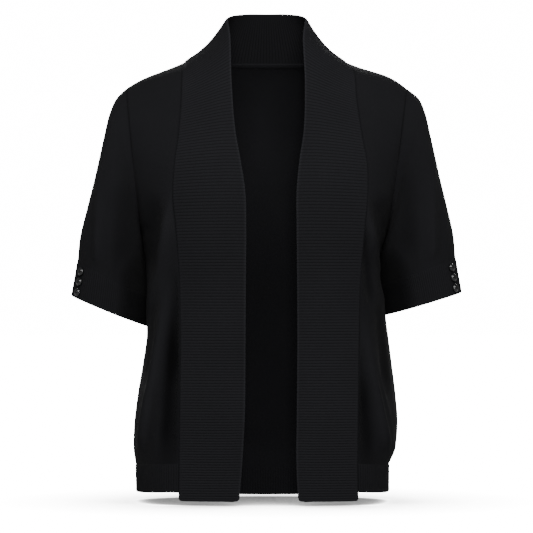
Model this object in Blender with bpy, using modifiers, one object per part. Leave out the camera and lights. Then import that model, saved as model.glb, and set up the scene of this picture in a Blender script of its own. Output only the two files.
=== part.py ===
"""Open-front cardigan in fine knit, in the hollow form it takes when it is worn.

Every cloth piece is a wall: rows of points on its right side, plain rows one cloth
thickness behind them, and rims between the two. Sizes are in millimetres and become
metres when a mesh is made. The origin is the middle of the neck, level with the
highest points of the two shoulders. The front looks along -Y, up is +Z, and the
wearer's right is at -X.
"""
import math

import bmesh
import bpy
import numpy as np
from mathutils import Matrix, Vector

MM = 0.001

# ---------------------------------------------------------------- driving dimensions
RIGHT, LEFT = -1.0, 1.0  # sign of x on the wearer's two sides
NAMES = {RIGHT: "right", LEFT: "left"}

KNIT_WALL = 2.0          # fine knit of the body and sleeves
RIB_WALL = 2.4           # rib, from its valleys to its wrong side
RIB_RELIEF = 0.7         # height of a rib over its valleys
SEAM_GAP = 0.37          # between two pieces along a seam
BAND_RIB = 4.0           # distance from rib to rib
HEM_RIB = 3.8
CUFF_RIB = 3.5
EDGE_STRIP = 0.06        # smooth edge of a ribbed piece, as a share of its width

NECK_HALF = 118.0        # half width of the neckline, at the shoulders
SHOULDER_HALF = 203.0    # half width at the shoulder points
SHOULDER_DROP = 38.0     # shoulder point under the neck point
SHOULDER_DEPTH = 5.0     # shoulder seam behind the origin
SHOULDER_CROWN = {RIGHT: 3.0, LEFT: 5.5}   # rise of the shoulder seam over a straight line
SIDE_SEAM_SWING = 11.0   # side seam behind the armhole's lowest point
UNDERARM_DROP = 250.0
ARMHOLE_FRONT = 52.0     # reach of the armhole before the shoulder seam
ARMHOLE_BACK = 50.0
WELT_DROP_SIDE = 583.0   # top of the welt under the origin, at the side seam
WELT_DROP_BACK = 594.0
WELT_HEIGHT = 40.0
FRONT_HOLLOW = 0.7       # how much the lower sleeve's front falls in towards its inner line
BACK_HOLLOW = 0.3        # and how much its back does
SIDE_BULGE = 13.0        # handle of the front's rows beside the sleeve, where it bows out

# Rows of a panel, 0 at its top and 1 at the underarm, by which a form has come or gone.
WRAP_ROW = 0.9           # the panel wraps round the body
BULGE_IN_ROW = 1.07      # the front bows out beside the sleeve
BULGE_OUT_ROW = 1.6      # and has stopped, after easing off over a fifth of the side
CROWN_ROW = 0.35         # the front has left the crown of the shoulder
BACK_TOP_ROW = 0.42      # the back has left the line of its top edge
FOLD_ROW = 0.35          # folds have their full height
FOLD_END = 0.12          # and lose it over this much of a row above the welt

BUTTON_ACROSS = 11.6
BUTTON_RISE = 4.6
BUTTON_RIM = 1.6         # height of the button's upright edge
BUTTON_UNDERCUT = 0.6    # its foot is this much smaller all round
BUTTON_SEAT = 0.3        # between the tops of the ribs and the button
BUTTONS_PER_CUFF = 3
BUTTON_TURN = 0.10       # round the cuff from its outer line, towards the front
FIRST_BUTTON = 0.20      # down the cuff, as a share of its height
BUTTON_STEP = 0.30
CUFF_RADIUS = 45.0       # radius of the cuff where the buttons sit

# How many points each piece has, across and down.
ARMHOLE_ROWS = 10
SIDE_ROWS = 14
SHOULDER_COLUMNS = 4
NECK_COLUMNS = 6         # each half of the back neck
FRONT_COLUMNS = 8
SLEEVE_ROWS = 12
BUTTON_SIDES = 12
DOME_STEPS = 3
SMOOTH_EDGE_STEP = 6     # a ribbed piece's smooth edges have every sixth of its points
WRONG_SIDE_STEP = 8
CLEAR_OF_SEAM = 0.6      # steps that a smooth edge's point keeps from a point of the seam
SHARP_ANGLE = 40.0       # degrees between two faces that are shaded as a crease


# ------------------------------------------------------------------- tables of sizes
def table(names, *rows):
    """A short table: the names of its columns, then a row of sizes for each section."""
    values = np.array(rows, dtype=float)
    return {name: values[:, k] for k, name in enumerate(names.split())}


# The band, rib by rib. way: 0 centre back, 1 shoulder seam, 2 underarm, 3 top of the
# welt. seam_: the edge that is linked to the panels, free_: the edge that hangs free.
# right and left are distances from the middle, depth is towards the back.
BAND = table(
    "way   seam_right seam_left seam_depth seam_height free_right free_left free_depth free_height",
    (0.00,   0.0,   0.0,   58.0,    1.0,   0.0,   0.0,   84.0,   75.0),
    (0.25,  45.2,  45.2,   53.9,    1.0,  27.0,  27.0,   80.5,   75.0),
    (0.50,  83.4,  83.0,   42.4,    0.8,  47.0,  47.0,   61.0,   72.5),
    (0.75, 109.5, 107.5,   25.0,    0.4,  57.0,  57.0,   32.0,   66.5),
    (1.00, 119.5, 116.5,    5.0,    0.0,  56.5,  56.5,    0.0,   57.0),
    (1.12, 121.5, 126.0,  -27.0,  -15.0,  53.0,  53.4,  -24.0,   35.0),
    (1.30, 122.7, 130.0,  -52.0,  -58.0,  50.5,  55.6,  -56.0,  -31.0),
    (1.52, 127.0, 138.0,  -78.0, -115.0,  44.2,  53.0,  -86.0, -104.0),
    (1.66, 131.5, 144.0,  -90.0, -150.0,  37.0,  47.0, -101.0, -144.0),
    (1.80, 133.5, 144.5,  -98.0, -190.0,  30.6,  43.0, -112.0, -187.0),
    (2.00, 128.5, 139.5, -104.0, -245.0,  29.0,  43.0, -119.0, -244.0),
    (2.20, 124.0, 134.0, -105.5, -311.0,  29.5,  43.6, -120.0, -311.0),
    (2.50, 122.5, 131.8, -104.0, -411.0,  30.0,  44.0, -118.0, -411.0),
    (2.80, 123.8, 130.6, -104.5, -511.0,  31.0,  43.0, -114.0, -511.0),
    (3.00, 124.6, 130.0, -100.0, -577.0,  34.6,  42.6, -111.0, -577.0),
    (3.12, 125.0, 130.6,  -99.5, -617.5,  37.8,  44.4, -109.0, -617.5),
    (3.15, 125.0, 130.8,  -99.5, -630.0,  39.0,  45.4, -108.5, -630.5),
)
NECK_WAY = 1.0
HEM_WAY = 3.12
BAND_END = 3.15
CHEST_BOW = 4.0          # the band bows out between its edges on the chest
COLLAR_HOLLOW = 7.0      # and hollows where the collar stands over the shoulder
FREE_EDGE_ROLL = 2.5     # its free edge rolls back

# The side seam under the arm. row: 1 underarm, 2 top of the welt, 3 lower edge.
SIDE = table(
    "row   right   left",
    (1.00, 181.0, 175.0),
    (1.15, 175.2, 170.4),
    (1.30, 170.4, 167.6),
    (1.42, 170.8, 171.6),
    (1.55, 177.0, 179.0),
    (1.70, 185.5, 185.0),
    (1.85, 192.0, 188.0),
    (1.95, 191.0, 183.5),
    (2.00, 187.6, 176.4),
    (3.00, 187.2, 175.2),
)

# The middle of the back, from the neckline down.
BACK = table(
    "height  depth",
    (1.0,    58.0),
    (-20.0,  73.0),
    (-50.0,  88.0),
    (-90.0, 100.0),
    (-140.0, 108.0),
    (-200.0, 110.0),
    (-260.0, 106.5),
    (-330.0, 101.5),
    (-400.0, 102.0),
    (-470.0, 108.0),
    (-530.0, 115.0),
    (-566.0, 116.0),
    (-594.0, 108.0),
    (-634.0, 107.0),
)

# How far the side seam and the band pull a row of the front straight, as shares of its
# depth and of its width. Small values let it fall away from the band at once.
FRONT_PULL = table(
    "row   side_pull band_pull",
    (0.00,  0.40,  0.40),
    (0.60,  0.50,  0.35),
    (0.80,  0.60,  0.18),
    (1.00,  0.66,  0.24),
    (1.30,  0.64,  0.55),
    (1.60,  0.60,  0.70),
    (2.00,  0.60,  0.62),
    (3.00,  0.60,  0.62),
)
BACK_SIDE_PULL = 0.62
BACK_MIDDLE_PULL = 0.60
LOWER_EDGE_ROW = 3.0

# The sleeve. along: 0 armhole, 1 top of the cuff, CUFF_END its hem. The outer line runs
# down from the shoulder point; the inner line runs down from the underarm beside the
# side seam, clear of it by the width given and behind the body's front.
SLEEVE = table(
    "along  outer_right outer_left outer_y outer_z  clear  inner_y inner_z half_front half_back",
    (0.00,  203.0,      203.0,      5.0,    -38.0,   0.0,    5.0, -250.0,   52.0,   50.0),
    (0.08,  216.0,      219.0,      1.0,    -51.0,   0.2,    6.0, -256.0,   55.5,   50.5),
    (0.20,  226.5,      229.5,     -6.0,    -73.0,   0.4,    8.5, -265.0,   60.5,   49.0),
    (0.35,  235.0,      237.5,    -14.0,   -109.0,   0.5,   11.5, -277.0,   64.5,   45.0),
    (0.52,  245.5,      248.0,    -20.0,   -159.0,   0.6,   15.0, -292.0,   67.0,   40.0),
    (0.70,  258.5,      260.0,    -24.0,   -211.0,   0.7,   18.0, -309.0,   68.0,   36.0),
    (0.86,  269.0,      269.5,    -26.0,   -255.0,   0.9,   19.5, -323.0,   67.5,   33.0),
    (1.00,  272.6,      272.6,    -27.0,   -290.0,   1.3,   20.0, -338.0,   67.0,   31.5),
    (1.18,  281.0,      281.0,    -28.0,   -339.0,   1.6,   20.0, -381.5,   68.0,   31.5),
)
CUFF_END = 1.18
SLEEVE_LIFT = {RIGHT: (0.0, 0.0), LEFT: (5.0, 14.0)}   # hem raised: outer and inner line

# Main folds: a crest from one point to another as seen from the front, its height over
# the cloth and its reach to either side. A negative height is a trough.
FOLDS = {
    ("front", RIGHT): table(
        "x0      z0      x1      z1      height  reach",
        (-137.0, -212.0, -164.0, -372.0,  8.0,   13.0),
        (-163.0, -205.0, -166.0, -300.0, -6.0,   14.0),
        (-145.0, -350.0, -180.0, -565.0,  7.5,    9.0),
        (-157.0, -340.0, -174.0, -460.0, -4.5,    8.0),
        (-133.0, -370.0, -147.0, -560.0, -7.5,    9.0),
    ),
    ("front", LEFT): table(
        "x0      z0      x1      z1      height  reach",
        (146.0,  -234.0,  166.0, -364.0,  7.5,   12.0),
        (164.0,  -205.0,  163.0, -290.0, -5.5,   13.0),
        (141.0,  -392.0,  171.0, -560.0,  7.5,    9.0),
        (158.0,  -345.0,  174.0, -470.0, -4.0,    8.0),
        (138.0,  -460.0,  148.0, -570.0, -7.0,    9.0),
    ),
    ("back", RIGHT): table(
        "x0      z0      x1      z1      height  reach",
        (-118.0, -150.0, -146.0, -420.0,  4.2,   20.0),
        (-62.0,  -250.0,  -78.0, -540.0,  2.8,   18.0),
    ),
    ("back", LEFT): table(
        "x0      z0      x1      z1      height  reach",
        (116.0,  -165.0,  150.0, -450.0,  4.0,   19.0),
        (40.0,   -300.0,   66.0, -560.0,  3.0,   17.0),
    ),
    ("sleeve", RIGHT): table(
        "x0      z0      x1      z1      height  reach",
        (-240.0, -135.0, -243.0, -290.0,  3.8,   12.0),
        (-200.0, -185.0, -204.0, -290.0, -4.5,   14.0),
    ),
    ("sleeve", LEFT): table(
        "x0      z0      x1      z1      height  reach",
        (238.0,  -120.0,  236.0, -275.0,  3.8,   12.0),
        (198.0,  -170.0,  200.0, -275.0, -4.5,   14.0),
    ),
}


# ------------------------------------------------------------------ smooth curves
def smooth(at, knots, values):
    """Value at a place in a table: a cubic through its rows, with the slope of each row
    taken from the rows beside it."""
    slopes = np.gradient(values, knots)
    k = np.clip(np.searchsorted(knots, at, side="right") - 1, 0, len(knots) - 2)
    span = knots[k + 1] - knots[k]
    t = (at - knots[k]) / span
    rise = values[k + 1] - values[k]
    start = slopes[k] * span
    end = slopes[k + 1] * span
    square = 3.0 * rise - 2.0 * start - end
    cube = start + end - 2.0 * rise
    return values[k] + t * start + t ** 2 * square + t ** 3 * cube


def ease(t):
    """0 below 0, 1 above 1, and a smooth rise between."""
    t = np.clip(t, 0.0, 1.0)
    return t * t * (3.0 - 2.0 * t)


def points(x, y, z):
    """Points from three coordinate arrays, or numbers, of matching shape."""
    return np.stack(np.broadcast_arrays(x, y, z), axis=-1).astype(float)


def unit(vectors):
    """Vectors of length one."""
    return vectors / np.linalg.norm(vectors, axis=-1, keepdims=True)


def bezier(start, start_pull, end_pull, end, t):
    """Cubic from start to end; the pulls are the handles, as vectors from the ends."""
    near = start + start_pull
    far = end + end_pull
    back = 1.0 - t
    return back ** 3 * start + 3.0 * back * back * t * near + 3.0 * back * t * t * far + t ** 3 * end


def both_halves(name):
    """A band column from the right hem round the neck to the left hem."""
    right = BAND[name + "_right"] if name + "_right" in BAND else BAND[name]
    left = BAND[name + "_left"] if name + "_left" in BAND else BAND[name]
    sign = -1.0 if name + "_right" in BAND else 1.0
    return np.concatenate((sign * right[:0:-1], left))


BAND_WAYS = np.concatenate((-BAND["way"][:0:-1], BAND["way"]))


def band_edge(edge, way):
    """Point on the band's seam or free edge; way is negative on the right."""
    x = smooth(way, BAND_WAYS, both_halves(edge))
    y = smooth(way, BAND_WAYS, both_halves(edge + "_depth"))
    z = smooth(way, BAND_WAYS, both_halves(edge + "_height"))
    return points(x, y, z)


# ------------------------------------------------------------------- edges of panels
def armhole(side, row, reach):
    """Point on an armhole: an oval from the shoulder point, row 0, to the underarm, row 1.
    reach is how far it bows to the back, negative to the front."""
    turn = math.pi * row
    down = (1.0 - np.cos(turn)) / 2.0
    underarm = SIDE[NAMES[side]][0]
    x = side * (SHOULDER_HALF + (underarm - SHOULDER_HALF) * down)
    z = -SHOULDER_DROP - (UNDERARM_DROP - SHOULDER_DROP) * down
    return points(x, SHOULDER_DEPTH + reach * np.sin(turn), z)


def outer_edge(side, row, reach):
    """Armhole down to row 1, then the side seam."""
    top = armhole(side, np.minimum(row, 1.0), reach)
    below = np.maximum(row, 1.0)
    x = side * smooth(below, SIDE["row"], SIDE[NAMES[side]])
    z = -UNDERARM_DROP - (WELT_DROP_SIDE - UNDERARM_DROP) * (np.minimum(below, 2.0) - 1.0)
    z = z - WELT_HEIGHT * (np.maximum(below, 2.0) - 2.0)
    seam = points(x, SHOULDER_DEPTH + SIDE_SEAM_SWING * ease((below - 1.0) / 0.2), z)
    return np.where((row > 1.0)[..., None], seam, top)


def shoulder_crown(side, share):
    """Rise of the shoulder over a straight line, fullest near the arm."""
    return SHOULDER_CROWN[side] * np.sin(math.pi * share ** 0.6) ** 2


def shoulder_seam(side, share):
    """Point on the shoulder seam: share 0 at the shoulder point, 1 at the neck."""
    start = armhole(side, np.zeros_like(share), 0.0)
    end = band_edge("seam", side * (NECK_WAY + np.zeros_like(share)))
    line = start + (end - start) * share[..., None]
    line[..., 2] += shoulder_crown(side, share)
    return line


def back_middle(row):
    """Middle of the back: row 0 neckline, 1 underarm, 2 top of the welt, 3 lower edge."""
    nape = BACK["height"][0]
    upper = nape + (-UNDERARM_DROP - nape) * np.minimum(row, 1.0)
    lower = (UNDERARM_DROP - WELT_DROP_BACK) * (np.clip(row, 1.0, 2.0) - 1.0)
    z = upper + lower - WELT_HEIGHT * (np.maximum(row, 2.0) - 2.0)
    y = smooth(-z, -BACK["height"], BACK["depth"])
    return points(0.0 * z, y, z)


# --------------------------------------------------------------- the panels' surfaces
def lift_folds(spots, out, piece, side, fade):
    """Move points out over the folds of a piece. A fold is a bell across its crest line
    and dies away at the line's ends; fade is 0 where the points have to stay."""
    folds = FOLDS[(piece, side)]
    lift = np.zeros(spots.shape[:-1])
    for x0, z0, x1, z1, height, reach in zip(*folds.values()):
        run = np.array((x1 - x0, z1 - z0))
        length = np.hypot(*run)
        dx = spots[..., 0] - x0
        dz = spots[..., 2] - z0
        along = (dx * run[0] + dz * run[1]) / length ** 2
        off = (dx * run[1] - dz * run[0]) / length
        ends = ease(2.5 * along + 0.5) * ease(3.0 - 2.5 * along)
        lift += height * np.exp(-(off / reach) ** 2) * ends
    return spots + out * (lift * fade)[..., None]


def front_panel(side, row, share):
    """Front: share 0 on the armhole or side seam, 1 on the band. A row is a cubic whose
    handles turn from the line of the shoulder seam to a wrap round the side."""
    start = outer_edge(side, row, -ARMHOLE_FRONT)
    on_welt = 2.0 + (row - 2.0) * (HEM_WAY - NECK_WAY - 2.0)
    end = band_edge("seam", side * (NECK_WAY + np.where(row > 2.0, on_welt, row)))
    across = end - start
    wrap = ease(row / WRAP_ROW)[..., None]
    side_pull = smooth(row, FRONT_PULL["row"], FRONT_PULL["side_pull"])
    band_pull = smooth(row, FRONT_PULL["row"], FRONT_PULL["band_pull"])
    third = across / 3.0
    bulge = ease((row - 1.0) / (BULGE_IN_ROW - 1.0)) * ease((BULGE_OUT_ROW - row) / 0.2)
    from_side = points(side * SIDE_BULGE * bulge, side_pull * across[..., 1], third[..., 2])
    from_band = points(-band_pull * across[..., 0], -0.10 * band_pull * across[..., 1], -third[..., 2])
    start_pull = (1.0 - wrap) * third + wrap * from_side
    end_pull = wrap * from_band - (1.0 - wrap) * third
    spots = bezier(start, start_pull, end_pull, end, share[..., None])
    spots[..., 2] += shoulder_crown(side, share) * (1.0 - ease(row / CROWN_ROW))
    middle = points(0.0 * row, 30.0, spots[..., 2])
    out = unit((spots - middle) * np.array((0.6, 1.0, 0.0)))
    fade = np.sqrt(np.abs(np.sin(math.pi * share))) * ease(row / FOLD_ROW)
    fade = fade * ease((2.0 - row) / FOLD_END)
    return lift_folds(spots, out, "front", side, fade)


def back_half(side, row, share):
    """Half of the back: share 0 on the armhole or side seam, 1 in the middle. The top row
    is the shoulder seam and then the neckline; it turns into a wrap round the back."""
    start = outer_edge(side, row, ARMHOLE_BACK)
    end = back_middle(row)
    across = end - start
    wrap = ease(row / WRAP_ROW)[..., None]
    third = across / 3.0
    from_side = points(0.0 * row, BACK_SIDE_PULL * across[..., 1], third[..., 2])
    from_middle = points(-BACK_MIDDLE_PULL * across[..., 0], 0.0 * row, 0.0 * row)
    start_pull = (1.0 - wrap) * third * np.array((1.0, 0.6, 1.0)) + wrap * from_side
    t = share[..., None]
    ring = bezier(start, start_pull, from_middle, end, t)

    shoulder_share = SHOULDER_COLUMNS / (SHOULDER_COLUMNS + NECK_COLUMNS)
    on_shoulder = shoulder_seam(side, np.clip(share / shoulder_share, 0.0, 1.0))
    neck_share = np.clip((share - shoulder_share) / (1.0 - shoulder_share), 0.0, 1.0)
    on_neck = band_edge("seam", side * NECK_WAY * (1.0 - neck_share))
    top = np.where((share < shoulder_share)[..., None], on_shoulder, on_neck)
    top_start = armhole(side, 0.0 * row, 0.0)
    top_end = back_middle(0.0 * row)
    shift = (start - top_start) * (1.0 - t) + (end - top_end) * t
    keep = (1.0 - ease(row / BACK_TOP_ROW))[..., None]
    spots = keep * (top + shift) + (1.0 - keep) * ring
    out = unit(spots * np.array((0.5, 1.0, 0.0)))
    fade = np.sqrt(np.abs(np.sin(math.pi * share / 2.0))) * ease((1.0 - share) / FOLD_END)
    fade = fade * ease(row / FOLD_ROW) * ease((2.0 - row) / FOLD_END)
    return lift_folds(spots, out, "back", side, fade)


def sleeve_ring(side, along, turn):
    """Sleeve and cuff: rings between the outer and the inner line. turn 0 is the outer
    line, 0.5 the inner line; it runs down the front first. Towards the inner line the
    oval is drawn in, more so down the sleeve, where the cloth falls against the body."""
    column = {name: smooth(along, SLEEVE["along"], SLEEVE[name]) for name in SLEEVE}
    start = armhole(side, 0.0 * along, 0.0)
    outer_lift, inner_lift = SLEEVE_LIFT[side]
    lifted = ease((along - 0.2) / 0.9)
    outer_z = column["outer_z"] + outer_lift * lifted
    inner_z = column["inner_z"] + inner_lift * lifted
    beside = 1.0 + (-inner_z - UNDERARM_DROP) / (WELT_DROP_SIDE - UNDERARM_DROP)
    inner_x = smooth(beside, SIDE["row"], SIDE[NAMES[side]]) + column["clear"]
    outer = points(side * column["outer_" + NAMES[side]], column["outer_y"], outer_z)
    inner = points(side * inner_x, column["inner_y"], inner_z)
    outer = np.where((along <= 0.0)[..., None], start, outer)
    angle = 2.0 * math.pi * turn
    half = np.where(np.sin(angle) > 0.0, -column["half_front"], column["half_back"])
    middle = (outer + inner) / 2.0
    spots = middle + (outer - inner) / 2.0 * np.cos(angle)[..., None]
    beside_body = (1.0 - np.cos(angle)) / 2.0
    hollow = np.where(np.sin(angle) > 0.0, FRONT_HOLLOW, BACK_HOLLOW)
    power = 1.0 + hollow * beside_body * ease(along / 0.6)
    spots[..., 1] += half * np.abs(np.sin(angle)) ** power
    out = unit((spots - middle) * np.array((1.0, 1.0, 0.3)) + 1e-9)
    fade = np.maximum(np.sin(angle), 0.0) * ease(along / 0.15) * ease((1.0 - along) / 0.1)
    return lift_folds(spots, out, "sleeve", side, fade)


def band_surface(way, share):
    """Band: share 0 on the seam edge, 1 on the free edge. A rib crosses it as a line that
    bows out on the chest and hollows at the neck, where the collar stands."""
    seam = band_edge("seam", way)
    free = band_edge("free", way)
    step = 0.02
    ahead = band_edge("seam", way + step) + band_edge("free", way + step)
    behind = band_edge("seam", way - step) + band_edge("free", way - step)
    normal = unit(np.cross(free - seam, ahead - behind))
    distance = np.abs(way)
    bow = CHEST_BOW * ease((distance - 1.1) / 0.7)
    bow = bow - COLLAR_HOLLOW * np.exp(-((distance - NECK_WAY) / 0.28) ** 2)
    roll = -FREE_EDGE_ROLL * ease((share - 0.8) / 0.2) * ease((distance - 1.1) / 0.3)
    across = seam + (free - seam) * share[..., None]
    return across + normal * (bow * 4.0 * share * (1.0 - share) + roll)[..., None]


# ------------------------------------------------------------------------- walls
def strip(first, second):
    """Faces between two rows that run side by side. A row is (indices, places); where the
    places differ in number, triangles take up the difference."""
    faces = []
    i = j = 0
    last_i = len(first[0]) - 1
    last_j = len(second[0]) - 1
    while i < last_i or j < last_j:
        next_i = first[1][i + 1] if i < last_i else math.inf
        next_j = second[1][j + 1] if j < last_j else math.inf
        a = first[0][i]
        b = second[0][j]
        if abs(next_i - next_j) < 1e-6:
            faces.append((a, first[0][i + 1], second[0][j + 1], b))
            i += 1
            j += 1
        elif next_i < next_j:
            faces.append((a, first[0][i + 1], b))
            i += 1
        else:
            faces.append((a, second[0][j + 1], b))
            j += 1
    return faces


def wall(name, outer, inner, ring=False):
    """Closed wall. outer and inner are lists of lines (points, places, across): the right
    side and the wrong side, each from one edge of the piece to the other. On a ring each
    line closes on itself."""
    spots = []
    count = 0

    def add(lines):
        nonlocal count
        rows = []
        for line_points, places, across in lines:
            indices = list(range(count, count + len(line_points)))
            count += len(line_points)
            spots.append(line_points)
            if ring:
                indices.append(indices[0])
                places = np.append(places, 1.0)
            rows.append((indices, places, across))
        return rows

    right = add(outer)
    wrong = add(inner)
    faces = []
    for rows in (right, wrong):
        for k in range(len(rows) - 1):
            faces += strip(rows[k], rows[k + 1])
    faces += strip(right[0], wrong[0])
    faces += strip(right[-1], wrong[-1])
    if not ring:
        for end in (0, -1):
            near = ([row[0][end] for row in right], [row[2] for row in right])
            far = ([row[0][end] for row in wrong], [row[2] for row in wrong])
            faces += strip(near, far)
    mesh = bpy.data.meshes.new(name)
    mesh.from_pydata([tuple(p) for p in np.concatenate(spots) * MM], [], faces)
    shape = bmesh.new()
    shape.from_mesh(mesh)
    bmesh.ops.recalc_face_normals(shape, faces=shape.faces)
    if shape.calc_volume(signed=True) < 0.0:
        bmesh.ops.reverse_faces(shape, faces=shape.faces)
    shape.to_mesh(mesh)
    shape.free()
    thing = bpy.data.objects.new(name, mesh)
    parts.objects.link(thing)
    mesh.shade_smooth()
    mesh.set_sharp_from_angle(angle=math.radians(SHARP_ANGLE))
    return thing


def grid_normals(grid, side, ring=False):
    """Unit normals of a grid of points; side is +1 or -1, so that they point out."""
    if ring:
        wide = np.concatenate((grid[:, -1:], grid, grid[:, :1]), axis=1)
        across = (wide[:, 2:] - wide[:, :-2]) / 2.0
    else:
        across = np.gradient(grid, axis=1)
    down = np.gradient(grid, axis=0)
    return unit(np.cross(across, down)) * side


def draw_in(grid, edge, distance):
    """Move one edge of a grid towards the row or column beside it."""
    target, neighbour = {
        "first_row": (np.s_[0, :], np.s_[1, :]),
        "last_row": (np.s_[-1, :], np.s_[-2, :]),
        "first_column": (np.s_[:, 0], np.s_[:, 1]),
        "last_column": (np.s_[:, -1], np.s_[:, -2]),
    }[edge]
    grid[target] += distance * unit(grid[neighbour] - grid[target])


ALL_EDGES = ("first_row", "last_row", "first_column", "last_column")


def panel_wall(name, grid, normals, edges, ring=False):
    """Plain wall on a grid: its seam edges are drawn in by half the seam gap, and the
    wrong side lies one cloth thickness behind."""
    for edge in edges:
        draw_in(grid, edge, SEAM_GAP / 2.0)
    places = np.linspace(0.0, 1.0, grid.shape[1] + (1 if ring else 0))[:grid.shape[1]]
    levels = np.linspace(0.0, 1.0, grid.shape[0])
    outer = [(row, places, level) for row, level in zip(grid, levels)]
    inner = [(row, places, level) for row, level in zip(grid - KNIT_WALL * normals, levels)]
    return wall(name, outer, inner, ring)


def along_line(at, places, values):
    """Values between the points of a polyline, for each coordinate."""
    return np.stack([np.interp(at, places, values[:, k]) for k in range(3)], axis=-1)


# ----------------------------------------------------------------------- materials
def cloth(name, colour, roughness):
    """One finish, as a plain Principled material."""
    material = bpy.data.materials.new(name)
    material.use_nodes = True
    shader = material.node_tree.nodes["Principled BSDF"]
    shader.inputs["Base Color"].default_value = (*colour, 1.0)
    shader.inputs["Roughness"].default_value = roughness
    shader.inputs["Metallic"].default_value = 0.0
    return material


# -------------------------------------------------------------------------- pieces
def panel_rows():
    """Rows of the body panels: even steps down the armhole, then down the side."""
    upper = np.linspace(0.0, 1.0, ARMHOLE_ROWS + 1)
    lower = np.linspace(1.0, 2.0, SIDE_ROWS + 1)[1:]
    return np.concatenate((upper, lower))


def shoulder_normal(side):
    """Upright to the shoulder seam, the same for both panels that meet there."""
    slope = SHOULDER_DROP / (SHOULDER_HALF - NECK_HALF)
    return unit(np.array((side * slope, 0.0, 1.0)))


def armhole_normals(side, body, sleeve):
    """Where the sleeve goes on over the shoulder, both share the mean of their normals;
    down the armhole each keeps its own."""
    turn = np.linspace(0.0, 1.0, ARMHOLE_ROWS + 1)
    share = (1.0 - ease((turn - 0.15) / 0.35))[:, None]
    mean = unit(body + sleeve)
    return unit(share * mean + (1.0 - share) * body), unit(share * mean + (1.0 - share) * sleeve)


def body_grids(side):
    """Points and normals of one front, one half of the back and one sleeve, with the
    normals shared along the seams between them. At the corner where the shoulder seam
    meets the neckline they lean half way towards the neckline's next point."""
    rows = panel_rows()[:, None]
    front_share = np.linspace(0.0, 1.0, FRONT_COLUMNS + 1)[None, :]
    back_share = np.linspace(0.0, 1.0, SHOULDER_COLUMNS + NECK_COLUMNS + 1)[None, :]
    zero_front = np.zeros((rows.shape[0], front_share.shape[1]))
    zero_back = np.zeros((rows.shape[0], back_share.shape[1]))
    front = front_panel(side, rows + zero_front, front_share + zero_front)
    back = back_half(side, rows + zero_back, back_share + zero_back)
    knots = np.linspace(0.0, 1.0, SHOULDER_COLUMNS + 1)
    front[0] = along_line(front_share[0], knots, shoulder_seam(side, knots))

    along = np.linspace(0.0, 1.0, SLEEVE_ROWS + 1)[:, None] ** 1.25
    turn = np.linspace(0.0, 1.0, 2 * ARMHOLE_ROWS, endpoint=False)[None, :]
    zero = np.zeros((along.shape[0], turn.shape[1]))
    sleeve = sleeve_ring(side, along + zero, turn + zero)

    front_out = grid_normals(front, side)
    back_out = grid_normals(back, -side)
    sleeve_out = grid_normals(sleeve, side, ring=True)

    up = shoulder_normal(side)
    front_out[0] = up
    back_out[0, :SHOULDER_COLUMNS] = up
    corner = unit(up + back_out[0, SHOULDER_COLUMNS + 1] * np.array((1.0, 0.0, 1.0)))
    front_out[0, -1] = corner
    back_out[0, SHOULDER_COLUMNS] = corner
    level = np.array((side, 0.0, 0.0))
    front_out[ARMHOLE_ROWS:, 0] = level
    back_out[ARMHOLE_ROWS:, 0] = level
    back_out[:, -1] = unit(back_out[:, -1] * np.array((0.0, 1.0, 1.0)))
    before = np.arange(ARMHOLE_ROWS + 1)
    behind = -before
    for panel_out, columns in ((front_out, before), (back_out, behind)):
        body = panel_out[:ARMHOLE_ROWS + 1, 0]
        mine, theirs = armhole_normals(side, body, sleeve_out[0, columns])
        panel_out[:ARMHOLE_ROWS + 1, 0] = mine
        sleeve_out[0, columns] = theirs
    return {"front": (front, front_out), "back": (back, back_out), "sleeve": (sleeve, sleeve_out)}


def rib_places(length, pitch, knots):
    """Places, 0 to 1, of a rib's tops and valleys along a piece, and the sparser places
    of its smooth edges, which also take in the seam's own points."""
    ribs = round(length / pitch)
    fine = np.linspace(0.0, 1.0, 2 * ribs + 1)
    sparse = fine[::SMOOTH_EDGE_STEP]
    far = np.min(np.abs(sparse[:, None] - knots[None, :]), axis=1) > CLEAR_OF_SEAM * (fine[1] - fine[0])
    return fine, np.unique(np.concatenate((knots, sparse[far])))


def ribbed_wall(name, surface, normal_at, size, seam, middle=(), ring=False):
    """Wall with ribs across it. surface(place, share) gives its valleys; the ribs rise
    from them between two smooth edges, over a plain wrong side. size is its length and
    the distance between ribs. seam holds the places, points and normals of the seam,
    which the first edge follows exactly. middle has further lines, as shares of width."""
    knots, seam_line, seam_normals = seam
    fine, sparse = rib_places(*size, knots)
    if ring:
        fine = fine[:-1]
        sparse = sparse[:-1]
    plain = fine[::WRONG_SIDE_STEP]
    raised = np.where(np.arange(len(fine)) % 2 == 1, RIB_RELIEF, 0.0)[:, None]

    edge = along_line(sparse, knots, seam_line)
    beside = surface(sparse, np.full(len(sparse), EDGE_STRIP))
    edge = edge + SEAM_GAP / 2.0 * unit(beside - edge)
    outer = [(edge, sparse, 0.0)]
    for share in (EDGE_STRIP, *middle, 1.0 - EDGE_STRIP):
        at = np.full(len(fine), share)
        outer.append((surface(fine, at) + raised * normal_at(fine, at), fine, share))
    at = np.ones(len(sparse))
    outer.append((surface(sparse, at), sparse, 1.0))

    inner = [(edge - RIB_WALL * unit(along_line(sparse, knots, seam_normals)), sparse, 0.0)]
    for share in middle:
        at = np.full(len(plain), share)
        inner.append((surface(plain, at) - RIB_WALL * normal_at(plain, at), plain, share))
    at = np.ones(len(sparse))
    inner.append((surface(sparse, at) - RIB_WALL * normal_at(sparse, at), sparse, 1.0))
    return wall(name, outer, inner, ring)


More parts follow.
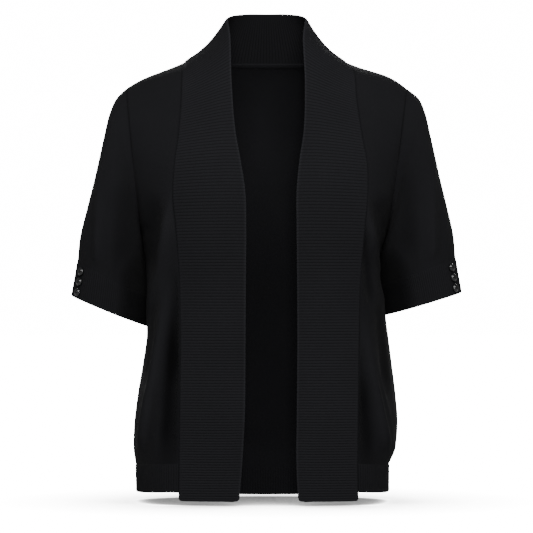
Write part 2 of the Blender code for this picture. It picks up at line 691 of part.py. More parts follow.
def surface_normals(surface, outward, ring=False):
    """A function that gives a surface's unit normals, from points close by. Places stay
    between 0 and 1, except on a ring, where they go round."""
    beside = 0.004 if ring else 0.002
    across = 0.03

    def normal_at(place, share):
        after = place + beside
        before = place - beside
        if not ring:
            after = np.clip(after, 0.0, 1.0)
            before = np.clip(before, 0.0, 1.0)
        forward = surface(after, share) - surface(before, share)
        further = surface(place, np.clip(share + across, 0.0, 1.0))
        nearer = surface(place, np.clip(share - across, 0.0, 1.0))
        return outward * unit(np.cross(forward, further - nearer))

    return normal_at


def line_length(line):
    """Length of a line through points."""
    return float(np.sum(np.linalg.norm(np.diff(line, axis=0), axis=1)))


def build_band(grids, rib):
    """Band and collar in one, on the seam points of the fronts and the back neck."""
    rows = panel_rows()
    neck_ways = np.linspace(0.0, NECK_WAY, NECK_COLUMNS + 1)
    tail_ways = np.array((HEM_WAY, BAND_END))
    ways = np.concatenate((neck_ways, NECK_WAY + rows[1:], tail_ways))
    all_ways = np.concatenate((-ways[:0:-1], ways))

    sample = np.linspace(-BAND_END, BAND_END, 2401)
    middle = band_surface(sample, np.full(len(sample), 0.5))
    run = np.concatenate(([0.0], np.cumsum(np.linalg.norm(np.diff(middle, axis=0), axis=1))))
    length = run[-1]
    knots = np.interp(all_ways, sample, run / length)

    def surface(place, share):
        return band_surface(np.interp(place, run / length, sample), share)

    halves = []
    for side in (RIGHT, LEFT):
        neck = grids[side]["back"][1][0, SHOULDER_COLUMNS:][::-1]
        down = grids[side]["front"][1][:, -1]
        tail = np.repeat(down[-1:], len(tail_ways), axis=0)
        halves.append(np.concatenate((neck, down[1:], tail)))
    seam_normals = np.concatenate((halves[0][:0:-1], halves[1]))
    seam_line = band_edge("seam", all_ways)
    normal_at = surface_normals(surface, -1.0)
    seam = (knots, seam_line, seam_normals)
    band = ribbed_wall("band", surface, normal_at, (length, BAND_RIB), seam, middle=(0.5,))
    band.data.materials.append(rib)


def build_welt(name, line, normals, foot, rib):
    """Welt under one panel, from the panel's last row down to the lower edge under it.
    Its two ends are drawn in by half the seam gap, and its ribs stand out level."""
    places = np.linspace(0.0, 1.0, len(line))
    length = line_length(line)
    inset = SEAM_GAP / 2.0 / length
    level = unit(normals * np.array((1.0, 1.0, 0.0)))

    def surface(place, share):
        inside = inset + (1.0 - 2.0 * inset) * place
        top = along_line(inside, places, line)
        low = along_line(inside, places, foot)
        return top + (low - top) * share[..., None]

    def normal_at(place, share):
        return unit(along_line(place, places, level))

    seam = (places, surface(places, np.zeros(len(places))), normals)
    welt = ribbed_wall(name, surface, normal_at, (length, HEM_RIB), seam)
    welt.data.materials.append(rib)


def build_cuff(side, ring, normals, rib):
    """Ribbed cuff at the end of a sleeve."""
    knots = np.linspace(0.0, 1.0, len(ring) + 1)
    closed = np.concatenate((ring, ring[:1]))
    closed_normals = np.concatenate((normals, normals[:1]))

    def surface(place, share):
        return sleeve_ring(side, 1.0 + (CUFF_END - 1.0) * share, np.mod(place, 1.0))

    normal_at = surface_normals(surface, side, ring=True)
    size = (line_length(closed), CUFF_RIB)
    seam = (knots, closed, closed_normals)
    cuff = ribbed_wall("cuff_" + NAMES[side], surface, normal_at, size, seam, ring=True)
    cuff.data.materials.append(rib)
    return surface, normal_at


def build_buttons(side, surface, normal_at, gloss):
    """Column of domed buttons near the outer edge of a cuff. Each is a turned profile,
    set just off the tops of the ribs with its axis square to the cuff."""
    radius = BUTTON_ACROSS / 2.0
    profile = [(0.0, BUTTON_RISE)]
    for angle in np.linspace(0.0, math.pi / 2.0, DOME_STEPS + 1)[1:]:
        lift = BUTTON_RIM + (BUTTON_RISE - BUTTON_RIM) * math.cos(angle)
        profile.append((radius * math.sin(angle), lift))
    profile += [(radius - BUTTON_UNDERCUT, 0.0), (0.0, 0.0)]
    over_curve = radius ** 2 / (2.0 * CUFF_RADIUS)
    seat = RIB_RELIEF + BUTTON_SEAT + over_curve
    for number in range(BUTTONS_PER_CUFF):
        name = "button_%s_%d" % (NAMES[side], number + 1)
        mesh = bpy.data.meshes.new(name)
        edges = [(k, k + 1) for k in range(len(profile) - 1)]
        mesh.from_pydata([(r * MM, 0.0, z * MM) for r, z in profile], edges, [])
        button = bpy.data.objects.new(name, mesh)
        parts.objects.link(button)
        turn = button.modifiers.new("Turn", "SCREW")
        turn.steps = BUTTON_SIDES
        turn.render_steps = BUTTON_SIDES
        turn.use_merge_vertices = True
        turn.merge_threshold = 0.00001
        turn.use_smooth_shade = True
        share = np.array((FIRST_BUTTON + BUTTON_STEP * number,))
        place = np.array((BUTTON_TURN,))
        spot = surface(place, share)[0]
        out = Vector(normal_at(place, share)[0])
        frame = out.to_track_quat("Z", "Y").to_matrix().to_4x4()
        button.matrix_world = Matrix.Translation((Vector(spot) + out * seat) * MM) @ frame
        mesh.materials.append(gloss)


# ------------------------------------------------------------------- the cardigan
for old in list(bpy.data.objects):
    bpy.data.objects.remove(old, do_unlink=True)
parts = bpy.data.collections.new("cardigan")
bpy.context.scene.collection.children.link(parts)

knit = cloth("fine_knit_black", (0.0105, 0.0105, 0.0120), 0.90)
rib = cloth("rib_knit_black", (0.0125, 0.0125, 0.0142), 0.86)
gloss = cloth("button_black", (0.0060, 0.0060, 0.0065), 0.12)

grids = {side: body_grids(side) for side in (RIGHT, LEFT)}

front_share = np.linspace(0.0, 1.0, FRONT_COLUMNS + 1)
for side in (RIGHT, LEFT):
    front, front_out = grids[side]["front"]
    front_foot = front_panel(side, np.full(len(front_share), LOWER_EDGE_ROW), front_share)
    build_welt("hem_" + NAMES[side], front[-1].copy(), front_out[-1], front_foot, rib)

half_share = np.linspace(0.0, 1.0, SHOULDER_COLUMNS + NECK_COLUMNS + 1)
lower_edge = np.full(len(half_share), LOWER_EDGE_ROW)
right_foot = back_half(RIGHT, lower_edge, half_share)
left_foot = back_half(LEFT, lower_edge, half_share)
back_foot = np.concatenate((right_foot, left_foot[-2::-1]))
right_back, right_out = grids[RIGHT]["back"]
left_back, left_out = grids[LEFT]["back"]
back_grid = np.concatenate((right_back, left_back[:, -2::-1]), axis=1)
back_out = np.concatenate((right_out, left_out[:, -2::-1]), axis=1)
build_welt("hem_back", back_grid[-1].copy(), back_out[-1], back_foot, rib)

build_band(grids, rib)

for side in (RIGHT, LEFT):
    panel = panel_wall("front_" + NAMES[side], *grids[side]["front"], ALL_EDGES)
    panel.data.materials.append(knit)
    sleeve, sleeve_out = grids[side]["sleeve"]
    cuff_ring = sleeve[-1].copy()
    tube = panel_wall("sleeve_" + NAMES[side], sleeve, sleeve_out, ("first_row", "last_row"), ring=True)
    tube.data.materials.append(knit)
    surface, normal_at = build_cuff(side, cuff_ring, sleeve_out[-1], rib)
    build_buttons(side, surface, normal_at, gloss)

back = panel_wall("back", back_grid, back_out, ALL_EDGES)
back.data.materials.append(knit)
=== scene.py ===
# %% [markdown]
# # An open-front cardigan in fine knit
# The garment is shown in the hollow form that it has when somebody wears it. Its solids
# are made already: plain walls with the true outline and the main folds. They are
# loaded here as a frame that never moves. This script dresses each of them in a fine
# shell with rounded ribs, soft creases and a knitted finish.

# %% Load the solid model
import math

import bpy
import numpy as np
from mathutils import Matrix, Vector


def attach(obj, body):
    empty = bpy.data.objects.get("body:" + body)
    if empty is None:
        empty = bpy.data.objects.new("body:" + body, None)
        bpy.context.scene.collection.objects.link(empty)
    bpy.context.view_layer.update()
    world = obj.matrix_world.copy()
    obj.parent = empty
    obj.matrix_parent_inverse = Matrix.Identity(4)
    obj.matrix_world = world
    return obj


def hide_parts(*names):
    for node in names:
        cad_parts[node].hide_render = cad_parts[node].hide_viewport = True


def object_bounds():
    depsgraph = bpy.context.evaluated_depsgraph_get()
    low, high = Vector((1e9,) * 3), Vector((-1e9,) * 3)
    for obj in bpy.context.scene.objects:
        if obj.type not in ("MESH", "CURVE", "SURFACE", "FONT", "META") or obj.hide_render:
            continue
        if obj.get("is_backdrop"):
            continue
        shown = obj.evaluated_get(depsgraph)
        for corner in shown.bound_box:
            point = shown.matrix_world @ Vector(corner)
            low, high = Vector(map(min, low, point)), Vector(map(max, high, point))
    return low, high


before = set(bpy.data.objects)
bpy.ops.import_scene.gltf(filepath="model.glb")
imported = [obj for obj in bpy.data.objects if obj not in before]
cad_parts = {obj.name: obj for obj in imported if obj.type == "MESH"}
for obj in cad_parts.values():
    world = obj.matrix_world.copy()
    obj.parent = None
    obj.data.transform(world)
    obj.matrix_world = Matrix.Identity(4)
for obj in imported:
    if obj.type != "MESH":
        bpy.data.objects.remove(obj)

cad_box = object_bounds()
MM = 0.001                # metres in a millimetre
RIGHT, LEFT = -1.0, 1.0   # the sign of x on the wearer's two sides
NAMES = {RIGHT: "right", LEFT: "left"}
print("solid model, metres:", cad_box)

# %% [markdown]
# ## Camera
# The garment was photographed from far off with a long lens, level with its middle. A
# camera 5 m away gives the same small difference in scale between the front bands and
# the back of the neck. The lens follows from the width that the picture shows.

# %% Camera
PICTURE_SIDE = 533.0      # pixels
PIXEL = 1.45              # millimetres a pixel at the garment's middle
CAMERA_AWAY = 5000.0      # in front of the neck
CAMERA_HEIGHT = -296.5    # level with the middle of the picture

lens = bpy.data.cameras.new("camera")
lens.lens = lens.sensor_width * CAMERA_AWAY / (PICTURE_SIDE * PIXEL)
camera = bpy.data.objects.new("camera", lens)
camera.location = (0.0, -CAMERA_AWAY * MM, CAMERA_HEIGHT * MM)
camera.rotation_euler = (math.pi / 2.0, 0.0, 0.0)
bpy.context.scene.collection.objects.link(camera)
bpy.context.scene.camera = camera
print("lens, mm:", round(lens.lens, 1))

# %% [markdown]
# ## The tables of sizes
# A garment is a set of edges first: the band, the side seams, the line down the back and
# the two lines of each sleeve. Each is a short table with named columns, in millimetres.
# The solids follow the same lines, except that these come a little nearer to the picture
# down the sides and inside the arms. A smooth cubic runs through the rows.

# %% Tables of the body
def table(names, *rows):
    """A short table: the names of its columns, then a row of sizes for each section."""
    values = np.array(rows, dtype=float)
    return {name: values[:, k] for k, name in enumerate(names.split())}


# way: 0 centre back, 1 shoulder seam, 2 underarm, 3 top of the welt. seam_: the edge
# linked to the panels, free_: the edge that hangs free. depth is towards the back.
BAND = table(
    "way   seam_right seam_left seam_depth seam_height free_right free_left free_depth free_height",
    (0.00,   0.0,   0.0,   58.0,    1.0,   0.0,   0.0,   84.0,   75.0),
    (0.25,  45.2,  45.2,   53.9,    1.0,  27.0,  27.0,   80.5,   75.0),
    (0.50,  83.4,  83.0,   42.4,    0.8,  47.0,  47.0,   61.0,   72.5),
    (0.75, 109.5, 107.5,   25.0,    0.4,  57.0,  57.0,   32.0,   66.5),
    (1.00, 119.5, 116.5,    5.0,    0.0,  56.5,  56.5,    0.0,   57.0),
    (1.12, 121.5, 126.0,  -27.0,  -15.0,  53.0,  53.4,  -24.0,   35.0),
    (1.30, 122.7, 130.0,  -52.0,  -58.0,  50.5,  55.6,  -56.0,  -31.0),
    (1.52, 127.0, 138.0,  -78.0, -115.0,  44.2,  53.0,  -86.0, -104.0),
    (1.66, 131.5, 144.0,  -90.0, -150.0,  37.0,  47.0, -101.0, -144.0),
    (1.80, 133.5, 144.5,  -98.0, -190.0,  30.6,  43.0, -112.0, -187.0),
    (2.00, 128.5, 139.5, -104.0, -245.0,  29.0,  43.0, -119.0, -244.0),
    (2.20, 124.0, 134.0, -105.5, -311.0,  29.5,  43.6, -120.0, -311.0),
    (2.50, 122.5, 131.8, -104.0, -411.0,  30.0,  44.0, -118.0, -411.0),
    (2.80, 123.8, 130.6, -104.5, -511.0,  31.0,  43.0, -114.0, -511.0),
    (3.00, 124.6, 130.0, -100.0, -577.0,  34.6,  42.6, -111.0, -577.0),
    (3.12, 125.0, 130.6,  -99.5, -617.5,  37.8,  44.4, -109.0, -617.5),
    (3.15, 125.0, 130.8,  -99.5, -630.0,  39.0,  45.4, -108.5, -630.5),
)
NECK_WAY, HEM_WAY, BAND_END = 1.0, 3.12, 3.15
CHEST_BOW, COLLAR_HOLLOW, FREE_EDGE_ROLL = 4.0, 7.0, 2.5

# The side seam. row: 1 underarm, 2 top of the welt, 3 lower edge.
SIDE = table(
    "row   right   left",
    (1.00, 181.0, 175.0),
    (1.15, 175.2, 161.0),
    (1.30, 171.4, 170.0),
    (1.42, 173.0, 176.0),
    (1.55, 179.3, 181.8),
    (1.70, 187.2, 187.7),
    (1.85, 192.8, 190.3),
    (1.95, 192.8, 185.3),
    (2.00, 190.0, 178.0),
    (3.00, 189.0, 177.6),
)
# The line down the middle of the back.
BACK = table(
    "height  depth",
    (1.0,    58.0),
    (-20.0,  73.0),
    (-50.0,  88.0),
    (-90.0, 100.0),
    (-140.0, 108.0),
    (-200.0, 110.0),
    (-260.0, 106.5),
    (-330.0, 101.5),
    (-400.0, 102.0),
    (-470.0, 108.0),
    (-530.0, 115.0),
    (-566.0, 116.0),
    (-594.0, 108.0),
    (-634.0, 107.0),
)
# How far the handles of a front's row reach: of its depth at the side, of its width at the
# band.
FRONT_PULL = table(
    "row   side_pull band_pull",
    (0.00,  0.40,  0.40),
    (0.60,  0.50,  0.35),
    (0.80,  0.60,  0.18),
    (1.00,  0.66,  0.24),
    (1.30,  0.64,  0.55),
    (1.60,  0.60,  0.70),
    (2.00,  0.60,  0.62),
    (3.00,  0.60,  0.62),
)
row_counts = [len(next(iter(columns.values()))) for columns in (BAND, SIDE, BACK, FRONT_PULL)]
print("rows of the band, side, back and front:", row_counts)

# %% Driving sizes and the sleeve's table
SHOULDER_HALF, SHOULDER_DROP, SHOULDER_DEPTH = 203.0, 38.0, 5.0
NECK_HALF = 118.0
SHOULDER_CROWN = {RIGHT: 3.0, LEFT: 5.5}
CROWN_SKEW = 0.6          # a power below one moves the crown's top towards the arm
SIDE_SEAM_SWING, SWING_ROWS = 11.0, 0.2   # below the arm the seam runs further back
UNDERARM_DROP = 250.0
ARMHOLE_FRONT, ARMHOLE_BACK = 52.0, 50.0
WELT_DROP_SIDE, WELT_DROP_BACK, WELT_HEIGHT = 583.0, 594.0, 40.0
BACK_SIDE_PULL, BACK_MIDDLE_PULL = 0.62, 0.60
NECK_SHARE = 0.4          # of a half back's top row, where the shoulder seam ends
FRONT_HOLLOW, BACK_HOLLOW = 0.7, 0.3   # how much the sleeve falls in towards its inner line
HOLLOW_OVER = 0.6         # stretch of the sleeve over which that comes
SIDE_BULGE = 3.0          # how far the front bows out beside the sleeve
BULGE_FROM_ROW, BULGE_IN_ROW, BULGE_OUT_ROW = 0.90, 1.06, 1.6   # rows where that comes and goes
BULGE_FADE = 0.2          # and how many rows it takes to go
WRAP_ROW = 0.9            # row from which a panel wraps right round the side
CROWN_ROW, BACK_TOP_ROW = 0.35, 0.42   # rows by which the shoulder's crown and seam have faded
FOLD_ROW = 0.35           # rows over which folds come in below the shoulder
FOLD_END = 0.12           # rows above the welt, and share beside the back's middle, where they go

# along: 0 armhole, 1 top of the cuff, CUFF_END its hem. outer_: the line down from the
# shoulder, inner_: the line beside the body, clear of the side seam by the width given.
# Here it presses into the side by a hair, where the solids stay just clear.
SLEEVE = table(
    "along  outer_right outer_left outer_y outer_z  clear  inner_y inner_z half_front half_back",
    (0.00,  203.0,      203.0,      5.0,    -38.0,   0.0,    5.0, -250.0,   52.0,   50.0),
    (0.08,  216.0,      219.0,      1.0,    -51.0,  -0.4,    6.0, -256.0,   55.5,   50.5),
    (0.20,  226.5,      229.5,     -6.0,    -73.0,  -0.7,    8.5, -265.0,   60.5,   49.0),
    (0.35,  235.0,      237.5,    -14.0,   -109.0,  -0.8,   11.5, -277.0,   64.5,   45.0),
    (0.52,  245.5,      248.0,    -20.0,   -159.0,  -0.8,   15.0, -292.0,   67.0,   40.0),
    (0.70,  258.5,      260.0,    -24.0,   -211.0,  -0.8,   18.0, -309.0,   68.0,   36.0),
    (0.86,  269.0,      269.5,    -26.0,   -255.0,  -0.8,   19.5, -323.0,   67.5,   33.0),
    (1.00,  272.6,      272.6,    -27.0,   -290.0,  -0.8,   20.0, -338.0,   67.0,   31.5),
    (1.18,  281.0,      281.0,    -28.0,   -339.0,  -0.6,   20.0, -381.5,   68.0,   31.5),
)
CUFF_END = 1.18
# How much higher the outer and the inner line hang at the cuff, as the two arms differ, and
# the stretch of the sleeve over which that comes.
SLEEVE_LIFT = {RIGHT: (0.0, -2.5), LEFT: (5.0, 14.0)}
LIFT_FROM, LIFT_OVER = 0.2, 0.9
print("rows of the sleeve:", len(SLEEVE["along"]))

# %% [markdown]
# ## Folds
# Cloth that hangs from the shoulders falls in a few large, soft folds. A simulation would
# make such folds too, but in places of its own. Here each is one row, so that it falls
# where the photograph shows it: a crest line as seen from the front, a height, and a reach
# to either side. A height below zero makes a trough. The larger folds are in the solids
# too. The finer ones only show up close, and are added here.

# %% Table of folds
def fold_rows(*rows):
    """A table of folds."""
    return table("x0 z0 x1 z1 height reach", *rows)


FOLDS = {
    ("front", RIGHT): fold_rows(
        (-137.0, -212.0, -164.0, -372.0,  8.0,   13.0),
        (-163.0, -205.0, -166.0, -300.0, -6.0,   14.0),
        (-145.0, -350.0, -180.0, -565.0,  7.5,    9.0),
        (-157.0, -340.0, -174.0, -460.0, -4.5,    8.0),
        (-133.0, -370.0, -147.0, -560.0, -7.5,    9.0),
    ),
    ("front", LEFT): fold_rows(
        (146.0,  -234.0,  166.0, -364.0,  7.5,   12.0),
        (164.0,  -205.0,  163.0, -290.0, -5.5,   13.0),
        (141.0,  -392.0,  171.0, -560.0,  7.5,    9.0),
        (158.0,  -345.0,  174.0, -470.0, -4.0,    8.0),
        (138.0,  -460.0,  148.0, -570.0, -7.0,    9.0),
    ),
    ("back", RIGHT): fold_rows(
        (-118.0, -150.0, -146.0, -420.0,  4.2,   20.0),
        (-62.0,  -250.0,  -78.0, -540.0,  2.8,   18.0),
    ),
    ("back", LEFT): fold_rows(
        (116.0,  -165.0,  150.0, -450.0,  4.0,   19.0),
        (40.0,   -300.0,   66.0, -560.0,  3.0,   17.0),
    ),
    ("sleeve", RIGHT): fold_rows(
        (-240.0, -135.0, -243.0, -290.0,  3.8,   12.0),
        (-200.0, -185.0, -204.0, -290.0, -4.5,   14.0),
    ),
    ("sleeve", LEFT): fold_rows(
        (238.0,  -120.0,  236.0, -275.0,  3.8,   12.0),
        (198.0,  -170.0,  200.0, -275.0, -4.5,   14.0),
    ),
}
# Finer creases, for the dressed pieces only.
CREASES = {
    ("front", RIGHT): fold_rows(
        (-138.0, -214.0, -168.0, -366.0,  3.0,    4.5),
        (-153.0, -225.0, -160.0, -330.0, -2.5,    6.0),
        (-130.0, -320.0, -134.0, -450.0, -5.0,    7.0),
        (-132.0, -410.0, -137.0, -590.0, -6.0,   12.0),
        (-152.0, -395.0, -182.0, -570.0,  3.6,    4.5),
        (-160.0, -470.0, -170.0, -560.0, -2.0,    4.0),
        (-151.0, -500.0, -160.0, -575.0,  1.6,    4.0),
    ),
    ("front", LEFT): fold_rows(
        (148.0,  -228.0,  169.0, -343.0,  3.2,    4.5),
        (139.0,  -245.0,  150.0, -345.0, -9.0,    7.0),
        (148.0,  -445.0,  175.0, -568.0,  4.2,    4.2),
        (157.0,  -452.0,  181.0, -545.0, -2.2,    3.6),
        (164.0,  -460.0,  184.0, -560.0,  2.6,    3.8),
        (133.0,  -420.0,  137.0, -500.0, -3.5,    6.0),
        (132.0,  -490.0,  140.0, -590.0, -5.0,   10.0),
        (160.0,  -300.0,  175.0, -475.0, -6.5,    7.0),
    ),
    ("back", RIGHT): fold_rows(
        (-150.0, -262.0, -118.0, -300.0, -1.8,    8.0),
        (-150.0, -300.0, -116.0, -352.0,  1.4,    8.0),
        (-104.0, -430.0, -118.0, -572.0, -1.6,   11.0),
        (-30.0,  -400.0, -36.0,  -575.0,  1.3,   12.0),
    ),
    ("back", LEFT): fold_rows(
        (150.0,  -268.0,  112.0, -316.0, -1.7,    8.0),
        (146.0,  -310.0,  120.0, -345.0,  1.2,    7.0),
        (98.0,   -400.0,  112.0, -574.0,  1.7,   10.0),
        (14.0,   -460.0,   10.0, -574.0, -1.1,   12.0),
    ),
    ("sleeve", RIGHT): fold_rows(
        (-241.0, -160.0, -242.0, -300.0,  3.0,    4.0),
        (-250.0, -170.0, -253.0, -300.0, -2.6,    5.0),
        (-222.0, -230.0, -224.0, -318.0,  1.3,    6.0),
    ),
    ("sleeve", LEFT): fold_rows(
        (239.0,  -150.0,  237.5, -292.0,  3.0,    4.0),
        (248.0,  -160.0,  250.0, -290.0, -2.4,    5.0),
        (219.0,  -215.0,  220.0, -300.0,  1.4,    6.0),
    ),
}
print("folds:", sum(len(folds["height"]) for group in (FOLDS, CREASES) for folds in group.values()))

# %% [markdown]
# ## Curves and edges
# Every line of the garment comes from two small tools: a smooth curve through a table's
# rows, and a cubic with two handles. The lines could be drawn by hand as curve objects,
# but an edge that two pieces share has to be exactly the same in both. So each is a
# function of its own, and both pieces start from it.

# %% Smooth curves
def smooth(at, knots, values):
    """Value at a place in a table. Between two rows it is the cubic that leaves and
    arrives with the slopes of those rows, each taken from the rows beside it."""
    slopes = np.gradient(values, knots)
    k = np.clip(np.searchsorted(knots, at, side="right") - 1, 0, len(knots) - 2)
    span = knots[k + 1] - knots[k]
    t = (at - knots[k]) / span
    rise = values[k + 1] - values[k]
    start = slopes[k] * span
    end = slopes[k + 1] * span
    square = 3.0 * rise - 2.0 * start - end
    cube = start + end - 2.0 * rise
    return values[k] + t * start + t ** 2 * square + t ** 3 * cube


def ease(t):
    """0 below 0, 1 above 1, and 3t² - 2t³ between."""
    t = np.clip(t, 0.0, 1.0)
    return t * t * (3.0 - 2.0 * t)


def points(x, y, z):
    """Points from three coordinate arrays, or numbers, of matching shape."""
    return np.stack(np.broadcast_arrays(x, y, z), axis=-1).astype(float)


def unit(vectors):
    """Vectors of length one."""
    return vectors / np.maximum(np.linalg.norm(vectors, axis=-1, keepdims=True), 1e-9)


def bezier(start, start_pull, end_pull, end, t):
    """(1-t)³ start + 3(1-t)²t near + 3(1-t)t² far + t³ end, where near and far are the
    ends moved by their pulls."""
    near = start + start_pull
    far = end + end_pull
    back = 1.0 - t
    return back ** 3 * start + 3.0 * back * back * t * near + 3.0 * back * t * t * far + t ** 3 * end


# %% Edges of the pieces
BAND_WAYS = np.concatenate((-BAND["way"][:0:-1], BAND["way"]))


def both_halves(name):
    """A band column from the right hem round the neck to the left hem."""
    if name + "_right" in BAND:
        return np.concatenate((-BAND[name + "_right"][:0:-1], BAND[name + "_left"]))
    return np.concatenate((BAND[name][:0:-1], BAND[name]))


def band_edge(edge, way):
    """Point on the band's seam or free edge; way is negative on the right."""
    x = smooth(way, BAND_WAYS, both_halves(edge))
    y = smooth(way, BAND_WAYS, both_halves(edge + "_depth"))
    z = smooth(way, BAND_WAYS, both_halves(edge + "_height"))
    return points(x, y, z)


def armhole(side, row, reach):
    """Half an oval from the shoulder point, row 0, to the underarm, row 1: the height
    goes with (1 - cos)/2 of half a turn, and it bows to the back by reach times sin."""
    turn = math.pi * row
    down = (1.0 - np.cos(turn)) / 2.0
    x = side * (SHOULDER_HALF + (SIDE[NAMES[side]][0] - SHOULDER_HALF) * down)
    z = -SHOULDER_DROP - (UNDERARM_DROP - SHOULDER_DROP) * down
    return points(x, SHOULDER_DEPTH + reach * np.sin(turn), z)


def outer_edge(side, row, reach):
    """Armhole down to row 1, then the side seam."""
    top = armhole(side, np.minimum(row, 1.0), reach)
    below = np.maximum(row, 1.0)
    x = side * smooth(below, SIDE["row"], SIDE[NAMES[side]])
    y = SHOULDER_DEPTH + SIDE_SEAM_SWING * ease((below - 1.0) / SWING_ROWS)
    z = -UNDERARM_DROP - (WELT_DROP_SIDE - UNDERARM_DROP) * (np.minimum(below, 2.0) - 1.0)
    z = z - WELT_HEIGHT * (np.maximum(below, 2.0) - 2.0)
    return np.where((row > 1.0)[..., None], points(x, y, z), top)


def shoulder_crown(side, share):
    """Rise of the shoulder over a straight line: a bump of sin², fullest near the arm."""
    return SHOULDER_CROWN[side] * np.sin(math.pi * np.clip(share, 0.0, 1.0) ** CROWN_SKEW) ** 2


def shoulder_seam(side, share):
    """A line from the shoulder point, share 0, to the neck, share 1, with its crown."""
    start = armhole(side, np.zeros_like(share), 0.0)
    end = band_edge("seam", side * (NECK_WAY + np.zeros_like(share)))
    line = start + (end - start) * share[..., None]
    line[..., 2] += shoulder_crown(side, share)
    return line


def back_middle(row):
    """Middle of the back: row 0 neckline, 1 underarm, 2 top of the welt, 3 lower edge."""
    nape = BACK["height"][0]
    upper = nape + (-UNDERARM_DROP - nape) * np.minimum(row, 1.0)
    lower = (UNDERARM_DROP - WELT_DROP_BACK) * (np.clip(row, 1.0, 2.0) - 1.0)
    z = upper + lower - WELT_HEIGHT * (np.maximum(row, 2.0) - 2.0)
    return points(0.0 * z, smooth(-z, -BACK["height"], BACK["depth"]), z)


print("underarm, mm:", armhole(LEFT, np.ones(1), 0.0)[0].round(1))

# %% [markdown]
# ## The panels
# Each panel is a function of two numbers, row and share, so it can be read at any
# fineness. A row of the body is a cubic whose handles turn, on the way down, from the
# line of the shoulder seam to a wrap round the side. A fold is a bell across its crest
# line and dies away at both its ends.
#
# Soft light hardly shows a fold on black cloth. So the same rows that raise the folds also
# give a painted shade for each trough and a painted light for each crest, which the finish
# multiplies into the colour.

# %% Folds
END_STEEP = 2.5           # how fast a fold dies away past its ends
DEEP = 14.0               # trough depth at which the painted shade is full
PAINTED_CREST_LIGHT = 0.6         # painted light on a crest, as a share of the painted shade in a trough as deep


def fold_lift(folds, spots):
    """Sum of height · exp(-(off/reach)²) · ends over a table of folds. off is the distance
    from the crest line, and ends eases to 0 past the line's two ends."""
    lift = np.zeros(spots.shape[:-1])
    for x0, z0, x1, z1, height, reach in np.stack(list(folds.values()), axis=-1):
        run = np.array((x1 - x0, z1 - z0))
        length = np.hypot(*run)
        dx = spots[..., 0] - x0
        dz = spots[..., 2] - z0
        along = (dx * run[0] + dz * run[1]) / length ** 2
        off = (dx * run[1] - dz * run[0]) / length
        ends = ease(0.5 + END_STEEP * along) * ease(0.5 + END_STEEP - END_STEEP * along)
        lift += height * np.exp(-(off / reach) ** 2) * ends
    return lift


def lift_folds(spots, out, piece, side, fade, crease_fade):
    """Move the points along out by their folds and creases. The two fades, 1 in the
    middle of a piece, bring them to 0 at its edges."""
    lift = fade * fold_lift(FOLDS[(piece, side)], spots)
    lift = lift + crease_fade * fold_lift(CREASES[(piece, side)], spots)
    return spots + out * lift[..., None]


def painted_fold_shade(spots, piece, side):
    """Painted shade from the folds: 1 at DEEP millimetres down or more, and on a crest as much
    below 0 as the painted light that it gets."""
    lift = fold_lift(FOLDS[(piece, side)], spots) + fold_lift(CREASES[(piece, side)], spots)
    return np.minimum(-lift / DEEP, 1.0) * np.where(lift > 0.0, PAINTED_CREST_LIGHT, 1.0)


print("a trough is darkest at", DEEP, "mm")

# %% Fronts
BAND_LEAN = 0.10          # how far the pull at the band leans to the back
FOLD_AXIS = 30.0          # depth of the upright axis that the front's folds rise from
FRONT_OUT = np.array((0.6, 1.0, 0.0))   # folds rise less to the side than to the front
CREASE_START, CREASE_STOP = 0.12, 0.10  # shares over which creases come in and go


def front_panel(side, row, share):
    """Front: share 0 on the armhole or side seam, 1 on the band."""
    start = outer_edge(side, row, -ARMHOLE_FRONT)
    on_welt = 2.0 + (row - 2.0) * (HEM_WAY - NECK_WAY - 2.0)
    end = band_edge("seam", side * (NECK_WAY + np.where(row > 2.0, on_welt, row)))
    across = end - start
    wrap = ease(row / WRAP_ROW)[..., None]
    side_pull = smooth(row, FRONT_PULL["row"], FRONT_PULL["side_pull"])
    band_pull = smooth(row, FRONT_PULL["row"], FRONT_PULL["band_pull"])
    third = across / 3.0
    bulge = ease((row - BULGE_FROM_ROW) / (BULGE_IN_ROW - BULGE_FROM_ROW))
    bulge = bulge * ease((BULGE_OUT_ROW - row) / BULGE_FADE)
    from_side = points(side * SIDE_BULGE * bulge, side_pull * across[..., 1], third[..., 2])
    lean = -BAND_LEAN * band_pull * across[..., 1]
    from_band = points(-band_pull * across[..., 0], lean, -third[..., 2])
    start_pull = (1.0 - wrap) * third + wrap * from_side
    end_pull = wrap * from_band - (1.0 - wrap) * third
    spots = bezier(start, start_pull, end_pull, end, share[..., None])
    spots[..., 2] += shoulder_crown(side, share) * (1.0 - ease(row / CROWN_ROW))
    middle = points(0.0 * row, FOLD_AXIS, spots[..., 2])
    out = unit((spots - middle) * FRONT_OUT)
    fade = np.sqrt(np.abs(np.sin(math.pi * share))) * ease(row / FOLD_ROW)
    fade = fade * ease((2.0 - row) / FOLD_END)
    crease_fade = ease(share / CREASE_START) * ease((1.0 - share) / CREASE_STOP)
    crease_fade = crease_fade * ease((2.0 - row) / FOLD_END)
    return lift_folds(spots, out, "front", side, fade, crease_fade)


print("front at the chest, mm:", front_panel(LEFT, np.ones(1), np.full(1, 0.5))[0].round(1))

# %% Back
BACK_OUT = np.array((0.5, 1.0, 0.0))   # folds rise less to the side than to the back
SHOULDER_PULL = np.array((1.0, 0.6, 1.0))   # at the top the back stays flatter than its line


